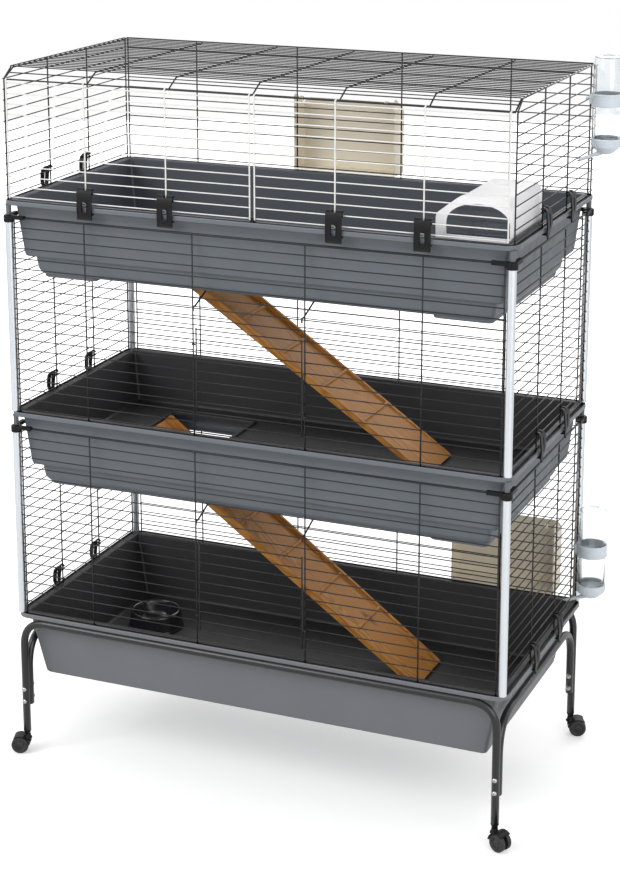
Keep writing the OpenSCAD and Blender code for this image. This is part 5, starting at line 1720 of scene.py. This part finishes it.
def hay_rack(bm, x, z, hook_z):
    """A shallow tray of a rack: a rounded back, two cheeks, a floor, a rolled brim and hooks."""
    width, height, depth = RACK
    half = width / 2
    y0 = WALL_Y + WIRE_D / 2 + 0.5
    y1 = y0 + depth
    base = z + 1.0
    crown = [(half, base), (half, base + height - RACK_R)]
    crown += [(half - RACK_R + a, base + height - RACK_R + b) for a, b in arc(0, 0, RACK_R, 8, 90, 8)]
    crown += [(-half + RACK_R + a, base + height - RACK_R + b) for a, b in arc(0, 0, RACK_R, 90, 172, 8)]
    crown += [(-half, base + height - RACK_R), (-half, base)]
    slab(bm, [(x + a, y1, b) for a, b in crown], (0, -RACK_WALL, 0), 0.8)
    for s in (-1, 1):
        low, high = sorted((s * half, s * (half - RACK_WALL)))
        cheek = [(y0, base), (y1 - 0.4, base), (y1 - 0.4, base + height - RACK_R), (y0 + 8, hook_z + 7),
            (y0, hook_z + 5)]
        slab(bm, [(x + low, y, h) for y, h in cheek], (high - low, 0, 0), 0.7)
        edge = [(y1 - 1.2, base + height - RACK_R + 1), (y0 + 8, hook_z + 7)]
        edge += [(y0 + 1.5, hook_z + 4), (y0 + 1.5, base + 3)]
        sweep(bm, rounded([(x + s * (half - 1.2), y, h) for y, h in edge], 5.0), 4.2, 10)
        outside, inside = y0 + 2.2, y0 - 5.2
        hook = points((0, outside, hook_z - 8), (0, outside, hook_z + 3.4), (0, inside, hook_z + 3.4))
        hook.append(Vector((0, inside, hook_z - 2.4)))
        for shift in (-2.4, 2.4):
            sweep(bm, [p + Vector((x + s * (half - HOOK_INSET) + shift, 0, 0)) for p in rounded(hook, 1.8)],
                3.0, 10)
    block(bm, (x - half + 0.4, y0, base), (x + half - 0.4, y1 - 0.4, base + RACK_WALL), 0.7)
    brim = points((x - half + 1.5, y0 + 1.5, base + 2), (x + half - 1.5, y0 + 1.5, base + 2))
    sweep(bm, brim, 4.2, 10)
    for k in range(-2, 3):
        rib = x + k * width / 6
        block(bm, (rib - 1.0, y0 + 8, base + RACK_WALL - 0.4), (rib + 1.0, y1 - 3, base + RACK_WALL + 1.6),
            0.5)


def make_racks():
    bm = bmesh.new()
    hay_rack(bm, OUTER_X + 4, RIMS[0], low_row(RIMS[0], RACK_ROW))
    hay_rack(bm, -RACK_SHIFT, RIMS[2], top_row(RACK_ROW))
    new_piece("hay_rack_set", bm, ("cream_plastic",), "cage", ("hay_racks",))


def make_bottles():
    r = BOTTLE_D / 2
    bm = bmesh.new()
    for z in SPOUTS:
        base = z + SPOUT_RISE
        top = BOTTLE_L
        outline = [(r - 4.0, -8), (r - 2.2, -8), (r - 2.0, -7.6), (r - 2.0, -0.8), (r - 0.8, 0.4), (r, 2.4)]
        outline += [(r, top * 0.3), (r - 0.5, top * 0.3 + 2), (r - 0.5, top * 0.36), (r, top * 0.36 + 2),
            (r, top - 5)]
        outline += [(r - 1.4, top - 1.4), (r - 5.0, top), (r - 14, top + 0.0), (r - 16, top - 1.6),
            (0, top - 1.6)]
        outline += [(0, top - 3.2), (r - 15.0, top - 3.2), (r - 13.4, top - 1.7), (r - 5.4, top - 1.7),
            (r - 2.8, top - 2.8), (r - 1.6, top - 5.4)]
        outline += [(r - 1.6, top * 0.36 + 1.6), (r - 2.1, top * 0.36 - 0.4), (r - 2.1, top * 0.3 + 2.4),
            (r - 1.6, top * 0.3 + 0.4)]
        outline += [(r - 1.6, 3.2), (r - 3.0, 1.0), (r - 4.0, -0.6), (r - 4.0, -8)]
        lathe(bm, outline, (BOTTLE_X, BOTTLE_Y, base), 56, closed=True)
    new_piece("water_bottles", bm, ("clear_bottle",), "cage", ("bottles",))


def make_holders():
    r = BOTTLE_D / 2 + 0.3
    bm = bmesh.new()
    for z in HOLDS:
        h = RING_H / 2
        ring = [(r, -h + 0.8), (r + 0.8, -h), (r + 3.4, -h), (r + 4.0, -h + 0.8), (r + 4.0, -h + 3.4),
            (r + 2.6, -h + 4.2)]
        ring += [(r + 2.6, h - 4.2), (r + 4.0, h - 3.4), (r + 4.0, h - 0.8), (r + 3.4, h), (r + 0.8, h),
            (r, h - 0.8), (r, -h + 0.8)]
        lathe(bm, ring, (BOTTLE_X, BOTTLE_Y, z), 64, closed=True)
        x = WALL_X + WIRE_D / 2 + 0.3
        block(bm, (x, BOTTLE_Y - 12, z - h + 4), (x + 9, BOTTLE_Y + 12, z + h - 4), 1.4)
        for y in (-9, 9):
            hook = rounded([(x + 2, y, z + 3.4), (WALL_X - 5.5, y, z + 3.4), (WALL_X - 5.5, y, z - 2.4)], 1.6)
            for shift in (-1.6, 1.6):
                sweep(bm, [p + Vector((0, BOTTLE_Y + shift, 0)) for p in hook], 3.0, 10)
    new_piece("bottle_rings", bm, ("ring_plastic",), "cage", ("bottle_holders",))


def make_caps():
    r = BOTTLE_D / 2
    bm = bmesh.new()
    for z in SPOUTS:
        rise = SPOUT_RISE
        outline = [(0, 8.8), (9.4, 8.8), (10.6, 9.2), (17, 12.4), (r - 3, 22.2), (r - 0.6, 24.2),
            (r + 1.0, 26.2)]
        outline += [(r + 1.8, 28), (r + 1.8, rise - 1.2), (r + 1.2, rise - 0.5), (r - 1.2, rise - 0.5),
            (r - 1.7, rise - 1), (r - 1.7, rise - 10), (0, rise - 10)]
        lathe(bm, outline, (BOTTLE_X, BOTTLE_Y, z), 56)
        for x, y in circle(r + 1.7, 36):
            rib = Vector((BOTTLE_X + x, BOTTLE_Y + y, z))
            sweep(bm, [rib + Vector((0, 0, 28.6)), rib + Vector((0, 0, rise - 1.4))], 1.3, 6)
        lean = math.radians(-112)
        way = Vector((math.sin(lean), 0, math.cos(lean)))
        start = Vector((BOTTLE_X - 4, BOTTLE_Y, z + 14))
        sweep(bm, [start, start + way * 58], 8.0, 20, blunt=0.1)
        sweep(bm, [start + way * 56, start + way * 64], 6.4, 20, slot=1, blunt=0.25)
        sweep(bm, [start + way * 2, start + way * 22], 11.0, 20, blunt=0.2)
    new_piece("bottle_cap_set", bm, ("ring_plastic", "bolt_steel"), "cage",
        ("bottle_caps",))


MATERIALS["ramp_wood"] = varnished_wood("ramp_wood", (196, 138, 66), (150, 93, 34), ramp_slope(1))

bottom_tray()
upper_tray("tray_middle_shell", RIMS[1], "tray_middle", "tray_inside_painted_shade")
upper_tray("tray_top_shell", RIMS[2], "tray_top", "top_inside_painted_shade")
corner_posts()
corner_connectors()
make_walls()
make_doors()
make_clips()
make_stand()
make_bolts()
make_plugs()
for caster in CASTERS:
    caster_housing(*caster)
    caster_wheels(*caster)
for level, storey in enumerate(("lower", "middle")):
    ramp(storey, level)
tray_rods()
door_rest()
food_bowl()
corner_house()
make_racks()
make_bottles()
make_holders()
make_caps()

bpy.context.scene.view_settings.view_transform = "Standard"
